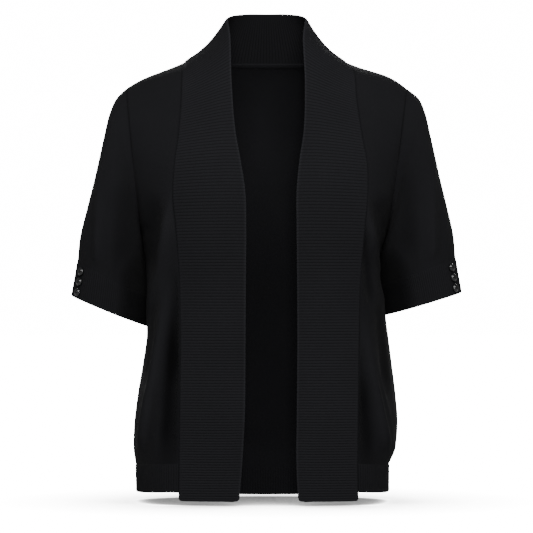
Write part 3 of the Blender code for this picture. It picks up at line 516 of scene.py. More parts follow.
def back_half(side, row, share):
    """Half of the back: share 0 on the armhole or side seam, 1 in the middle. The top
    row is the shoulder seam and then the neckline."""
    start = outer_edge(side, row, ARMHOLE_BACK)
    end = back_middle(row)
    across = end - start
    wrap = ease(row / WRAP_ROW)[..., None]
    third = across / 3.0
    from_side = points(0.0 * row, BACK_SIDE_PULL * across[..., 1], third[..., 2])
    from_middle = points(-BACK_MIDDLE_PULL * across[..., 0], 0.0 * row, 0.0 * row)
    start_pull = (1.0 - wrap) * third * SHOULDER_PULL + wrap * from_side
    t = share[..., None]
    ring = bezier(start, start_pull, from_middle, end, t)

    on_shoulder = shoulder_seam(side, np.clip(share / NECK_SHARE, 0.0, 1.0))
    way = NECK_WAY * (1.0 - np.clip((share - NECK_SHARE) / (1.0 - NECK_SHARE), 0.0, 1.0))
    top = np.where((share < NECK_SHARE)[..., None], on_shoulder, band_edge("seam", side * way))
    shift = (start - armhole(side, 0.0 * row, 0.0)) * (1.0 - t) + (end - back_middle(0.0 * row)) * t
    keep = (1.0 - ease(row / BACK_TOP_ROW))[..., None]
    spots = keep * (top + shift) + (1.0 - keep) * ring
    out = unit(spots * BACK_OUT)
    fade = np.sqrt(np.abs(np.sin(math.pi * share / 2.0))) * ease((1.0 - share) / FOLD_END)
    fade = fade * ease(row / FOLD_ROW) * ease((2.0 - row) / FOLD_END)
    return lift_folds(spots, out, "back", side, fade, fade)


print("back's depth at the underarm, mm:", back_middle(np.ones(1))[0, 1].round(1))

# %% Sleeves
SLEEVE_OUT = np.array((1.0, 1.0, 0.3))   # folds rise level from the sleeve, nearly
SLEEVE_FOLD_IN, SLEEVE_FOLD_OUT = 0.15, 0.1   # stretches over which folds come in and go


def sleeve_ring(side, along, turn):
    """Rings between the outer line, turn 0, and the inner line, turn 0.5: a cosine from
    line to line and a sine to the front and back, down the front first. Beside the body
    the sine is raised to a power above one, and the cloth falls in."""
    column = {name: smooth(along, SLEEVE["along"], SLEEVE[name]) for name in SLEEVE}
    outer_lift, inner_lift = SLEEVE_LIFT[side]
    lifted = ease((along - LIFT_FROM) / LIFT_OVER)
    outer_z = column["outer_z"] + outer_lift * lifted
    inner_z = column["inner_z"] + inner_lift * lifted
    beside = 1.0 + (-inner_z - UNDERARM_DROP) / (WELT_DROP_SIDE - UNDERARM_DROP)
    inner_x = smooth(beside, SIDE["row"], SIDE[NAMES[side]]) + column["clear"]
    outer = points(side * column["outer_" + NAMES[side]], column["outer_y"], outer_z)
    inner = points(side * inner_x, column["inner_y"], inner_z)
    outer = np.where((along <= 0.0)[..., None], armhole(side, 0.0 * along, 0.0), outer)
    angle = 2.0 * math.pi * turn
    half = np.where(np.sin(angle) > 0.0, -column["half_front"], column["half_back"])
    middle = (outer + inner) / 2.0
    spots = middle + (outer - inner) / 2.0 * np.cos(angle)[..., None]
    beside_body = (1.0 - np.cos(angle)) / 2.0
    hollow = np.where(np.sin(angle) > 0.0, FRONT_HOLLOW, BACK_HOLLOW)
    power = 1.0 + hollow * beside_body * ease(along / HOLLOW_OVER)
    spots[..., 1] += half * np.abs(np.sin(angle)) ** power
    out = unit((spots - middle) * SLEEVE_OUT + 1e-9)
    fade = np.maximum(np.sin(angle), 0.0)
    fade = fade * ease(along / SLEEVE_FOLD_IN) * ease((1.0 - along) / SLEEVE_FOLD_OUT)
    return lift_folds(spots, out, "sleeve", side, fade, fade)


half_way = sleeve_ring(LEFT, np.full(1, 0.5), np.zeros(1))[0]
print("outside of the sleeve, half-way, mm:", half_way.round(1))

# %% Band
ON_CHEST = 1.1            # way at which the band comes down from the neck
BOW_OVER, ROLL_OVER = 0.7, 0.3   # stretches over which its bow and its edge's roll come in
COLLAR_REACH = 0.28       # stretch to either side of the shoulder seam where the collar is hollow
ROLL_SHARE = 0.2          # of the width, beside the free edge


def band_surface(way, share):
    """Band: share 0 on the seam edge, 1 on the free edge. A rib crosses it as a line
    that bows out on the chest and hollows at the neck, where the collar stands."""
    seam = band_edge("seam", way)
    free = band_edge("free", way)
    step = 0.02
    ahead = band_edge("seam", way + step) + band_edge("free", way + step)
    behind = band_edge("seam", way - step) + band_edge("free", way - step)
    normal = unit(np.cross(free - seam, ahead - behind))
    distance = np.abs(way)
    bow = CHEST_BOW * ease((distance - ON_CHEST) / BOW_OVER)
    bow = bow - COLLAR_HOLLOW * np.exp(-((distance - NECK_WAY) / COLLAR_REACH) ** 2)
    roll = ease((share - (1.0 - ROLL_SHARE)) / ROLL_SHARE)
    roll = -FREE_EDGE_ROLL * roll * ease((distance - ON_CHEST) / ROLL_OVER)
    across = seam + (free - seam) * share[..., None]
    return across + normal * (bow * 4.0 * share * (1.0 - share) + roll)[..., None]


chest_rib = band_surface(np.full(2, 2.0), np.array((0.0, 1.0)))
print("band's width at the chest, mm:", np.linalg.norm(chest_rib[1] - chest_rib[0]).round(1))

# %% [markdown]
# ## From a surface to cloth
# A knitted panel is a wall about two millimetres thick, and its edges are rounded over.
# Two rounded edges that meet leave the soft groove of a linked seam, while a welt or a
# cuff is knitted on and leaves hardly a line. A Solidify modifier gives a wall too, but it
# can't finish each edge in its own way. So each piece is laid out as a grid of points with
# the way out at each, its edges are named with how they are finished, and the wall is
# made from that.

# %% Places, lengths and normals of a grid
EDGES = {"top": np.s_[0, :], "foot": np.s_[-1, :], "start": np.s_[:, 0], "end": np.s_[:, -1]}
# How far in an edge rounds over, and how deep the right and the wrong side sink there,
# as shares of half the wall.
EDGE_KINDS = {"seam": (2.4, 0.78, 0.20), "knitted": (1.6, 0.08, 0.0), "free": (1.3, 0.92, 0.92)}
NEAR_EDGE = np.array((0.0, 0.3, 0.8, 1.5, 2.4))   # extra places beside an edge, in millimetres


def places(length, count, first=True, last=True, near=NEAR_EDGE):
    """Places from 0 to 1: count even ones, and more close to each end."""
    low = near[-1] / length if first else 0.0
    high = 1.0 - near[-1] / length if last else 1.0
    start = near[:-1] / length if first else []
    end = 1.0 - near[-2::-1] / length if last else []
    return np.concatenate((start, np.linspace(low, high, count), end))


def arc(grid, axis):
    """Length along the rows or columns of a grid, from their start."""
    steps = np.linalg.norm(np.diff(grid, axis=axis), axis=-1)
    pad = [(0, 0), (0, 0)]
    pad[axis] = (1, 0)
    return np.cumsum(np.pad(steps, pad), axis=axis)


def grid_normals(grid, away, ring=False):
    """Unit normals of a grid, from the points on either side of each, on the side that
    the vectors in away point to."""
    if ring:
        wide = np.concatenate((grid[:, -1:], grid, grid[:, :1]), axis=1)
        across = wide[:, 2:] - wide[:, :-2]
    else:
        across = np.gradient(grid, axis=1)
    normals = unit(np.cross(across, np.gradient(grid, axis=0)))
    return normals if np.sum(normals * away) > 0.0 else -normals


def rounded(distance, reach, depth):
    """Sinking near an edge: depth at the edge, 0 from reach on, a quarter circle between."""
    t = 1.0 - np.clip(distance / reach, 0.0, 1.0)
    return depth * (1.0 - np.sqrt(1.0 - t * t))


print("kinds of edge:", list(EDGE_KINDS))


# %% A sheet of cloth
class Sheet:
    """A piece laid out: its grid, the way out, its edges and its place in the knitting."""

    def __init__(self, name, grid, away, edges, wall, ring=False):
        self.name = name
        self.grid = grid
        self.out = grid_normals(grid, away, ring)
        self.edges = edges
        self.wall = wall
        self.ring = ring
        self.right = 0.0      # what rises from the right side
        self.wrong = 0.0      # what rises from the wrong side, into the garment
        self.hollow = 0.0     # painted shade in the right side's colour, below 0 painted light, and in the wrong side's colour: 0 none, 1 most
        self.painted_shade_wrong = 0.0   # and from the wrong side: 0 none, 1 most
        self.stitch = None    # place of each point in the knitting, across and along it
        self.shift = 0.0      # how far the wrong side's place is moved across
        self.folded = {edge: 0.0 for edge in edges}   # 1 where the seam is folded flat

    def distance(self, edge):
        """Length from an edge to each point."""
        length = arc(self.grid, 0 if edge in ("top", "foot") else 1)
        if edge == "foot":
            return length[-1:] - length
        if edge == "end":
            return length[:, -1:] - length
        return length

    def sewn_line(self):
        """Points and normals of all its edges that join another piece."""
        sewn = [EDGES[edge] for edge, kind in self.edges.items() if kind != "free"]
        spots = np.concatenate([self.grid[edge] for edge in sewn])
        return spots, np.concatenate([self.out[edge] for edge in sewn])


print("edges of a sheet:", list(EDGES))

# %% Join sheets along their seams
TURN_REACH = 6.0          # normals turn to a seam's shared direction over this length
JOIN_WITHIN = 2.5         # edges closer than this belong to one seam
FOLDED_COSINE, COSINE_SPAN = -0.2, 0.6   # from this cosine on, over this much, walls join
OVERLAP = 0.25            # each side of a seam reaches over it, so that no light comes through


def join(sheets):
    """Where edges run together, the pieces take the mean of their normals, so that both
    walls meet face to face. A piece whose normal points the other way is left out: its
    weight eases from 1 to 0 as the cosine between them falls from 0.4 to -0.2. There, as
    under the arm, the seam is folded and the right sides lie against each other."""
    lines = [sheet.sewn_line() for sheet in sheets]
    shared = []
    for sheet in sheets:
        for edge, kind in sheet.edges.items():
            if kind == "free":
                continue
            spots, own = sheet.grid[EDGES[edge]], sheet.out[EDGES[edge]]
            total = own.copy()
            folded = np.zeros(len(spots))
            for other, (theirs, normals) in zip(sheets, lines):
                if other is sheet:
                    continue
                gap = np.linalg.norm(spots[:, None] - theirs[None], axis=-1)
                beside = normals[gap.argmin(axis=1)]
                near = gap.min(axis=1) < JOIN_WITHIN
                cosine = np.sum(beside * own, axis=-1)
                alike = ease((cosine - FOLDED_COSINE) / COSINE_SPAN)
                total += beside * (alike * near)[:, None]
                folded = np.maximum(folded, (1.0 - alike) * near)
            sheet.folded[edge] = folded[None, :] if edge in ("top", "foot") else folded[:, None]
            shared.append((sheet, edge, unit(total)))
    for sheet, edge, direction in shared:
        direction = direction[None, :] if edge in ("top", "foot") else direction[:, None]
        weight = (1.0 - ease(sheet.distance(edge) / TURN_REACH))[..., None]
        sheet.out = unit(sheet.out * (1.0 - weight) + direction * weight)


def lap(sheet):
    """Carry each sewn edge a little over the seam, away from the line beside it."""
    beside = {"top": np.s_[1, :], "foot": np.s_[-2, :], "start": np.s_[:, 1], "end": np.s_[:, -2]}
    for edge, kind in sheet.edges.items():
        if kind != "free":
            line = sheet.grid[EDGES[edge]]
            sheet.grid[EDGES[edge]] = line + OVERLAP * unit(line - sheet.grid[beside[edge]])


print("normals turn over", TURN_REACH, "mm beside a seam")

# %% Sink the edges and paint shade into the grooves
FOLD_REACH, FOLD_PRESS = 4.0, 0.3       # where a seam is folded, its right sides press together
GROOVE_REACH, PAINTED_GROOVE_SHADE = 3.0, 0.5   # a seam's groove gets a painted shade this wide and deep
MOST_PAINTED_LIGHT = -1.0                       # no crest or edge of the right side gets more painted light


def wall_sides(sheet):
    """The grids of the right side and of the wrong side, once the sewn edges are carried
    over their seams. What rises from a side fades as its edges sink. In a folded seam the
    right sides don't sink, but press together."""
    half = sheet.wall / 2.0
    sinks = []
    pressed = 0.0
    for side in (1, 2):
        parts = []
        for edge, kind in sheet.edges.items():
            reach, depth = EDGE_KINDS[kind][0], EDGE_KINDS[kind][side] * half
            flat = 1.0 - sheet.folded[edge] if side == 1 else 1.0
            distance = sheet.distance(edge)
            parts.append(rounded(distance, reach, depth) * flat)
            pressed = np.maximum(pressed, sheet.folded[edge] * (1.0 - ease(distance / FOLD_REACH)))
        sinks.append(np.max(parts, axis=0))
    right = sheet.right * (1.0 - sinks[0] / half) - sinks[0] + FOLD_PRESS * pressed
    wrong = sheet.wrong * (1.0 - sinks[1] / half) - sinks[1] + sheet.wall
    lap(sheet)
    return sheet.grid + sheet.out * right[..., None], sheet.grid - sheet.out * wrong[..., None]


def painted_wall_shade(sheet):
    """Painted shade of each point, on the right side and then on the wrong one, with painted
    light below 0. The right side's is at least the painted shade of the groove along a seam."""
    groove = np.zeros(sheet.grid.shape[:2])
    for edge, kind in sheet.edges.items():
        if kind == "seam":
            groove = np.maximum(groove, 1.0 - ease(sheet.distance(edge) / GROOVE_REACH))
    hollow = np.maximum(sheet.hollow, MOST_PAINTED_LIGHT)
    hollow = np.where(groove > 0.0, np.maximum(hollow, PAINTED_GROOVE_SHADE * groove), hollow)
    return np.stack((hollow, 0.0 * groove + sheet.painted_shade_wrong))


print("a seam's groove, mm:", GROOVE_REACH)


# %% Make the wall of a sheet
def side_faces(numbers):
    """Numbers of a grid at the four corners of each of its faces."""
    corners = (numbers[:-1, :-1], numbers[:-1, 1:], numbers[1:, 1:], numbers[1:, :-1])
    return np.stack(corners, axis=-1).reshape(-1, 4)


def wall_faces(near, far, ring):
    """The same for a whole wall, from a grid of numbers for each side: both sides, then
    a strip along each edge. A ring has no edges at its start and end."""
    parts = [side_faces(near), side_faces(far)[:, ::-1]]
    borders = [np.s_[0, :], np.s_[-1, ::-1]]
    if not ring:
        borders += [np.s_[::-1, 0], np.s_[:, -1]]
    for border in borders:
        a, b = near[border], far[border]
        parts.append(np.stack((a[1:], a[:-1], b[:-1], b[1:]), axis=-1))
    return np.concatenate(parts)


def cloth_wall(sheet):
    """Closed mesh of a sheet. Each corner of a face carries its place in the knitting in
    the map "knit", and each point its painted shade, below 0 painted light, in the
    attribute "hollow". The faces are turned round if the volume that they enclose, a sum
    over corners and normals, is below zero."""
    outer, inner = wall_sides(sheet)
    rows, columns = outer.shape[:2]
    index = np.arange(rows * columns).reshape(rows, columns)
    index = np.concatenate((index, index[:, :1]), axis=1) if sheet.ring else index
    faces = wall_faces(index, index + rows * columns, sheet.ring)
    across, along = sheet.stitch[..., 0], sheet.stitch[..., 1]
    knit_across = wall_faces(across, across + sheet.shift, sheet.ring)
    knit_map = np.stack((knit_across, wall_faces(along, along, sheet.ring)), axis=-1)
    spots = np.concatenate((outer.reshape(-1, 3), inner.reshape(-1, 3)))
    first, second, third, fourth = (spots[faces[:, k]] for k in range(4))
    volume = np.sum(np.cross(third - first, fourth - second) * (first + second + third + fourth))
    if volume < 0.0:
        faces = faces[:, ::-1]
        knit_map = knit_map[:, ::-1]
    mesh = bpy.data.meshes.new(sheet.name)
    mesh.from_pydata(spots * MM, [], faces)
    mesh.uv_layers.new(name="knit")
    mesh.uv_layers["knit"].data.foreach_set("uv", knit_map.ravel())
    shade = painted_wall_shade(sheet)
    # The attribute "hollow" carries the painted shade, and painted light below 0, that the finishes
    # multiply into the colour.
    mesh.attributes.new("hollow", "FLOAT", "POINT").data.foreach_set("value", shade.ravel())
    mesh.shade_smooth()
    piece = bpy.data.objects.new(sheet.name + "_dressed", mesh)
    bpy.context.scene.collection.objects.link(piece)
    print(piece.name, "has", 2 * len(faces), "triangles")
    return piece


# %% [markdown]
# ## Finishes
# Black knitwear shows its make in tiny changes of light. A fine knit is columns of small
# V-shaped stitches, and a rib carries one such column on its top. The stitches are far
# too many to model, so a material works them out from the place in the knitting that each
# point carries: the two legs of a stitch are sine waves that climb to either side of the
# column's middle. Its colour carries a painted shade between the stitches and in the
# valley beside a rib, painted light on a rib's top, and the painted shade and light that
# the folds, seams and edges give. Soft noise adds the fuzz of the yarn. The buttons are
# polished, with faint marks of wear.

# %% A finish
class Finish:
    """A Principled material, and short ways to add a node and get its output."""

    def __init__(self, name, colour, roughness):
        self.material = bpy.data.materials.new(name)
        self.material.use_nodes = True
        self.tree = self.material.node_tree
        self.shader = self.tree.nodes["Principled BSDF"]
        self.shader.inputs["Base Color"].default_value = (*colour, 1.0)
        self.shader.inputs["Roughness"].default_value = roughness

    def add(self, kind, inputs, output, **settings):
        """Add a node, set or link its inputs by name or number, and return an output."""
        node = self.tree.nodes.new(kind)
        for key, value in settings.items():
            setattr(node, key, value)
        for key, value in inputs.items():
            if isinstance(value, bpy.types.NodeSocket):
                self.tree.links.new(value, node.inputs[key])
            else:
                node.inputs[key].default_value = value
        return node.outputs[output]

    def math(self, operation, *values):
        """One arithmetic step."""
        return self.add("ShaderNodeMath", dict(enumerate(values)), 0, operation=operation)

    def mapped(self, value, low, high):
        """low + (high - low) · value."""
        inputs = {0: value, 1: high - low, 2: low}
        return self.add("ShaderNodeMath", inputs, 0, operation="MULTIPLY_ADD")

    def noise(self, vector, scale, detail):
        """Soft noise between 0 and 1, scale bumps a metre."""
        inputs = {"Vector": vector, "Scale": scale, "Detail": detail}
        return self.add("ShaderNodeTexNoise", inputs, "Fac")

    def link(self, output, socket):
        """Feed a socket of the shader."""
        self.tree.links.new(output, self.shader.inputs[socket])


# %% Knitted finish
STITCH_SLANT = 1.5        # how many stitches a leg climbs for the width of a column
LEG_POWER = 0.6           # below one, so that a leg is round with a sharp groove beside it
LEG_MEAN = 0.7            # mean height of a leg, which waves from 0.4 to 1 along it
FUZZ_SIZE, PATCH_SIZE = 1500.0, 9.0   # bumps a metre of the fuzz and of the uneven patches
PAINTED_STITCH_SHADE, NOISE_SHADE = (0.72, 1.12), (0.84, 1.16)   # darkest and lightest, of the colour: painted shade between stitches, random tone
PAINTED_HOLLOW_SHADE = 0.65       # how much the painted shade from the attribute "hollow" darkens the colour at 1
FUZZ_SHARE = 0.5          # of the fuzz in the bump, beside the stitch's whole height


def stitches(finish, wale, course):
    """Column of each point, 0 to 1 across it, and height of the stitch there, 0 to 1. A
    leg's section is |sin 2πu|, and the stitches follow cos 2π(v + slant · |u - 0.5|)."""
    place = finish.add("ShaderNodeUVMap", {}, 0, uv_map="knit")
    across = finish.add("ShaderNodeSeparateXYZ", {0: place}, "X")
    along = across.node.outputs["Y"]
    column = finish.math("FRACT", finish.math("DIVIDE", across, wale))
    beside = finish.math("ABSOLUTE", finish.math("SUBTRACT", column, 0.5))
    slant = finish.math("MULTIPLY", beside, STITCH_SLANT)
    climb = finish.math("ADD", finish.math("DIVIDE", along, course), slant)
    wave = finish.math("COSINE", finish.math("MULTIPLY", climb, 2.0 * math.pi))
    legs = finish.math("SINE", finish.math("MULTIPLY", column, 2.0 * math.pi))
    legs = finish.math("POWER", finish.math("ABSOLUTE", legs), LEG_POWER)
    return column, finish.math("MULTIPLY", legs, finish.mapped(wave, LEG_MEAN, 1.0))


def knitted(name, colour, roughness, wale, course, relief, painted_valley_shade):
    """Matt yarn: stitches and fuzz in the bump. Its colour has a painted shade between the
    stitches, down in the valleys of a rib and from the attribute "hollow", painted light on a
    rib's top and on crests and edges, and is a little uneven over a hand's breadth. It has a
    thin sheen."""
    finish = Finish(name, colour, roughness)
    column, height = stitches(finish, wale, course)
    spot = finish.add("ShaderNodeTexCoord", {}, "Object")
    fuzz = finish.noise(spot, FUZZ_SIZE, 3.0)
    patches = finish.mapped(finish.noise(spot, PATCH_SIZE, 4.0), *NOISE_SHADE)
    shade = finish.math("MULTIPLY", finish.mapped(height, *PAINTED_STITCH_SHADE), patches)
    shade = finish.math("MULTIPLY", shade, finish.mapped(fuzz, *NOISE_SHADE))
    # Painted shade in folds, grooves and under the arm, and painted light on crests and edges.
    hollow = finish.add("ShaderNodeAttribute", {}, "Fac", attribute_name="hollow")
    shade = finish.math("MULTIPLY", shade, finish.mapped(hollow, 1.0, 1.0 - PAINTED_HOLLOW_SHADE))
    # Painted shade in a rib's valley, and painted light on its top.
    if painted_valley_shade > 0.0:
        top = finish.math("SINE", finish.math("MULTIPLY", column, math.pi))
        shade = finish.math("MULTIPLY", shade, finish.mapped(top, 1.0 - painted_valley_shade, 1.0 + 0.5 * painted_valley_shade))
    tint = finish.add("ShaderNodeVectorMath", {0: (*colour,), "Scale": shade}, 0, operation="SCALE")
    finish.link(tint, "Base Color")
    mixed = finish.math("MULTIPLY_ADD", fuzz, FUZZ_SHARE, height)
    bump = finish.add("ShaderNodeBump", {"Height": mixed, "Distance": relief * MM}, 0)
    finish.link(bump, "Normal")
    finish.shader.inputs["Specular IOR Level"].default_value = 0.05
    finish.shader.inputs["Sheen Weight"].default_value = 0.012
    finish.shader.inputs["Sheen Roughness"].default_value = 0.5
    return finish.material


print("a stitch is darkest and lightest at", PAINTED_STITCH_SHADE, "of the colour")

# %% Polished finish
WEAR_SIZE, WEAR_DEPTH = 420.0, 0.02   # bumps a metre, and their depth in millimetres
WEAR_SHINE = (-0.05, 0.08)            # least and most that the wear adds to the roughness


def polished(name, colour, roughness):
    """Glossy moulded button: a clear shine and faint scratches."""
    finish = Finish(name, colour, roughness)
    spot = finish.add("ShaderNodeTexCoord", {}, "Object")
    wear = finish.noise(spot, WEAR_SIZE, 4.0)
    low, high = WEAR_SHINE
    finish.link(finish.mapped(wear, roughness + low, roughness + high), "Roughness")
    relief = {"Height": wear, "Distance": WEAR_DEPTH * MM, "Strength": 0.5}
    bump = finish.add("ShaderNodeBump", relief, 0)
    finish.link(bump, "Normal")
    finish.shader.inputs["Coat Weight"].default_value = 0.5
    finish.shader.inputs["Coat Roughness"].default_value = 0.06
    return finish.material


print("wear is", WEAR_DEPTH, "mm deep")

# %% Mix the finishes
# wale is the width of a column and course the length of a stitch: in millimetres on the
# plain knit, while on a rib a column is one rib wide.
KNIT_COLOUR = (0.0100, 0.0100, 0.0113)
# The band's rib is the same black yarn, made 12 percent lighter: painted light on the band, which faces
# the lamps.
PAINTED_LIGHT_RIB_COLOUR = (0.0112, 0.0112, 0.0127)
BUTTON_COLOUR = (0.0060, 0.0060, 0.0065)
knit_finish = knitted("fine knit, black", KNIT_COLOUR, 0.95, wale=2.0, course=1.5, relief=0.20, painted_valley_shade=0.0)
rib_finish = knitted("rib knit, black", PAINTED_LIGHT_RIB_COLOUR, 0.90, wale=1.0, course=1.6, relief=0.18, painted_valley_shade=0.28)
edge_finish = knitted("fine rib, black", KNIT_COLOUR, 0.95, wale=1.0, course=1.6, relief=0.18, painted_valley_shade=0.16)
button_finish = polished("button, polished black", BUTTON_COLOUR, 0.12)
print("finishes:", [m.name for m in (knit_finish, rib_finish, edge_finish, button_finish)])


# %% [markdown]
# ## Dressing a piece
# Each finished piece rides on the only body, takes its finish and hides the solid that it
# stands for, and cloth prints how large its cut was before it was made up.

# %% Dress a piece
def dress(piece, finish, node):
    """Give a piece its material, hang it on the body's empty, and hide the solid that it stands for."""
    piece.data.materials.append(finish)
    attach(piece, "root")
    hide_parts(node)


def dress_cloth(sheet, finish, slot, width, length, area):
    """Make a sheet's wall and print the area in square metres that its cut has left after
    shaping. Its flat width and length in metres are not used."""
    piece = cloth_wall(sheet)
    dress(piece, finish, sheet.name)
    faces = np.zeros(len(piece.data.polygons))
    piece.data.polygons.foreach_get("area", faces)
    print("  one side, m²:", round(float(faces.sum()) / 2.0, 4), "cut:", area)


# %% [markdown]
# ## Fine knit panels
# The fronts, the back and the sleeves are plain fine knit. The place of a point in the
# knitting is its length along the row and down the column, so the columns of stitches
# run straight down the body and along the sleeve. Cloth never hangs quite still: two
# slow sines, of less than a millimetre, keep the wide parts from looking drawn.
#
# Little light comes in between the arm and the body, so a shade is painted into the colour
# there, and on the cloth under the arm and down the sleeve.

# %% Rows and sway
KNIT_WALL = 2.0
FRONT_COLUMNS, BACK_COLUMNS, BODY_ROWS = 46, 60, 180
SLEEVE_COLUMNS, SLEEVE_ROWS = 144, 84
FRONT_WIDTH, HALF_BACK_WIDTH, SLEEVE_LENGTH = 100.0, 240.0, 290.0
NECK_STRIP = np.array((0.0, 0.3, 0.8, 1.5, 2.4, 3.6, 4.9, 6.2, 7.5, 9.0))   # places below the neck
FIRST_WAVE, SECOND_WAVE = (210.0, 130.0), (85.0, -300.0)   # their lengths across and down
WAVE_SHIFT = 1.3
STILL_REACH = 40.0        # the cloth is still at its edges and sways freely from this far in


def body_rows():
    """Rows from the shoulder to the welt, close together at both ends."""
    upper = places(UNDERARM_DROP, BODY_ROWS * 2 // 5, last=False, near=NECK_STRIP)
    lower = places(WELT_DROP_SIDE - UNDERARM_DROP, BODY_ROWS * 3 // 5, first=False)
    return np.concatenate((upper, 1.0 + lower[1:]))


def sway(spots, size):
    """size · (sin + sin)/2 of two slanting waves."""
    x, z = spots[..., 0], spots[..., 2]
    first = np.sin(2.0 * math.pi * (x / FIRST_WAVE[0] + z / FIRST_WAVE[1]))
    second = np.sin(2.0 * math.pi * (x / SECOND_WAVE[0] + z / SECOND_WAVE[1]) + WAVE_SHIFT)
    return size * (first + second) / 2.0


def settle(sheet, size):
    """Let a sheet sway, but hold it still near its edges."""
    still = np.ones(sheet.grid.shape[:2])
    for edge in sheet.edges:
        still = np.minimum(still, ease(sheet.distance(edge) / STILL_REACH))
    sheet.grid = sheet.grid + sheet.out * (sway(sheet.grid, size) * still)[..., None]


def level_stitch(sheet, from_line, from_row):
    """Place in the knitting: length along the row from a line of columns, and length
    down from a row."""
    across, down = arc(sheet.grid, 1), arc(sheet.grid, 0)
    start = np.take_along_axis(across, from_line[:, None], axis=1)
    return np.stack((across - start, down - down[from_row]), axis=-1)


print("rows of a body panel:", len(body_rows()))

# %% Painted shade between arm and body
SHADE_REACH, SHADE_EDGE = 0.5, 0.28     # how far round the sleeve the painted shade comes, and how softly
PAINTED_UNDER_ARM_SHADE, PAINTED_LOW_SLEEVE_SHADE = 0.24, 0.18   # painted shade of the front below the arm, of the low sleeve
UNDER_ARM_FROM, UNDER_ARM_OVER = 190.0, 80.0     # millimetres down at which the first comes in
LOW_SLEEVE_FROM, LOW_SLEEVE_OVER = 0.3, 0.5      # and the stretch of the sleeve for the second


def painted_arm_shade(along, turn):
    """Painted shade on the sleeve's front, between arm and body. It counts from the inner
    line, further towards the cuff."""
    angle = 2.0 * math.pi * turn
    inwards = (1.0 - np.cos(angle)) / 2.0 * (np.sin(angle) > 0.0)
    return ease((inwards - 1.0 + SHADE_REACH * ease(along)) / SHADE_EDGE)


def painted_front_shade(grid, side):
    """Painted shade of a front: its folds, and under the arm."""
    low = ease((-grid[..., 2] - UNDER_ARM_FROM) / UNDER_ARM_OVER)
    return painted_fold_shade(grid, "front", side) + PAINTED_UNDER_ARM_SHADE * low


def painted_sleeve_shade(grid, side, along, turn):
    """Painted shade of a sleeve: from its folds, on its front only, and its two painted shades."""
    on_front = np.sqrt(np.maximum(np.sin(2.0 * math.pi * turn), 0.0))
    low = PAINTED_LOW_SLEEVE_SHADE * ease((along - LOW_SLEEVE_FROM) / LOW_SLEEVE_OVER)
    return np.maximum(painted_fold_shade(grid, "sleeve", side) * on_front + low, painted_arm_shade(along, turn))


print("shade at the inner line of the cuff:", painted_arm_shade(1.0, np.array(0.49)).round(2))

# %% Lay out the panels
SEAM_EDGES = {"top": "seam", "foot": "knitted", "start": "seam", "end": "seam"}
SLEEVE_EDGES = {"top": "seam", "foot": "knitted"}
FRONT_SWAY, BACK_SWAY = 0.7, 0.9
STITCH_LINE = 140.0       # columns of stitches are counted from this far out on a front

rows = body_rows()[:, None]
underarm_row = int(np.searchsorted(rows[:, 0], 1.0))
front_share = places(FRONT_WIDTH, FRONT_COLUMNS)[None, :]
back_share = places(HALF_BACK_WIDTH, BACK_COLUMNS, last=False)[None, :]
back_share[0, np.abs(back_share[0] - NECK_SHARE).argmin()] = NECK_SHARE
along = places(SLEEVE_LENGTH, SLEEVE_ROWS)[:, None]
turn = np.mod(np.linspace(0.5, 1.5, SLEEVE_COLUMNS, endpoint=False), 1.0)[None, :]
from_middle = np.array((0.2, 1.0, 0.0))   # the garment's axis is at x = 0, y = 0

sheets = {}
halves = []
for side in (RIGHT, LEFT):
    grid = front_panel(side, rows + 0.0 * front_share, front_share + 0.0 * rows)
    front = Sheet("front_" + NAMES[side], grid, grid * from_middle, SEAM_EDGES, KNIT_WALL)
    settle(front, FRONT_SWAY)
    front.out = grid_normals(front.grid, front.grid * from_middle)
    front.hollow = painted_front_shade(front.grid, side)
    count_from = np.abs(np.abs(front.grid[..., 0]) - STITCH_LINE).argmin(axis=1)
    front.stitch = level_stitch(front, count_from, underarm_row)
    sheets[front.name] = front
    halves.append(back_half(side, rows + 0.0 * back_share, back_share + 0.0 * rows))

    grid = sleeve_ring(side, along + 0.0 * turn, turn + 0.0 * along)
    away = grid - grid.mean(axis=1, keepdims=True)
    sleeve = Sheet("sleeve_" + NAMES[side], grid, away, SLEEVE_EDGES, KNIT_WALL, ring=True)
    sleeve.hollow = painted_sleeve_shade(grid, side, along, turn)
    closed = np.concatenate((grid, grid[:, :1]), axis=1)
    about = arc(closed, 1)
    sleeve.stitch = np.stack((about - about[:, -1:] / 2.0, arc(closed, 0)), axis=-1)
    sheets[sleeve.name] = sleeve
print("laid out:", list(sheets))

# %% [markdown]
# The two halves of the back make one panel. Inside, just below the neckline, its seam
# allowance is turned down and shows as a narrow strip, which stands out and also gets a
# painted light. Further down, a painted shade darkens the inside.

# %% Lay out the back
STRIP = 4.6               # it is full this far down, and gone at twice that
STRIP_RISE, PAINTED_STRIP_LIGHT = 0.9, -0.4   # its height, and the painted light on it
STRIP_TAPER = 8.0         # it runs out over this length at each end of the neck
PAINTED_INSIDE_SHADE, INSIDE_AT, INSIDE_REACH = 0.35, 275.0, 90.0   # painted shade inside, darkest this far down

grid = np.concatenate((halves[0], halves[1][:, -2::-1]), axis=1)
back = Sheet("back", grid, grid * from_middle, SEAM_EDGES, KNIT_WALL)
settle(back, BACK_SWAY)
middle_column = np.full(len(grid), halves[0].shape[1] - 1)
back.stitch = level_stitch(back, middle_column, underarm_row)
below_neck = back.distance("top")
on_neck = ease((NECK_HALF - np.abs(back.grid[..., 0])) / STRIP_TAPER)
strip = on_neck * ease(below_neck) * (1.0 - ease((below_neck - STRIP) / STRIP))
back.wrong = STRIP_RISE * strip
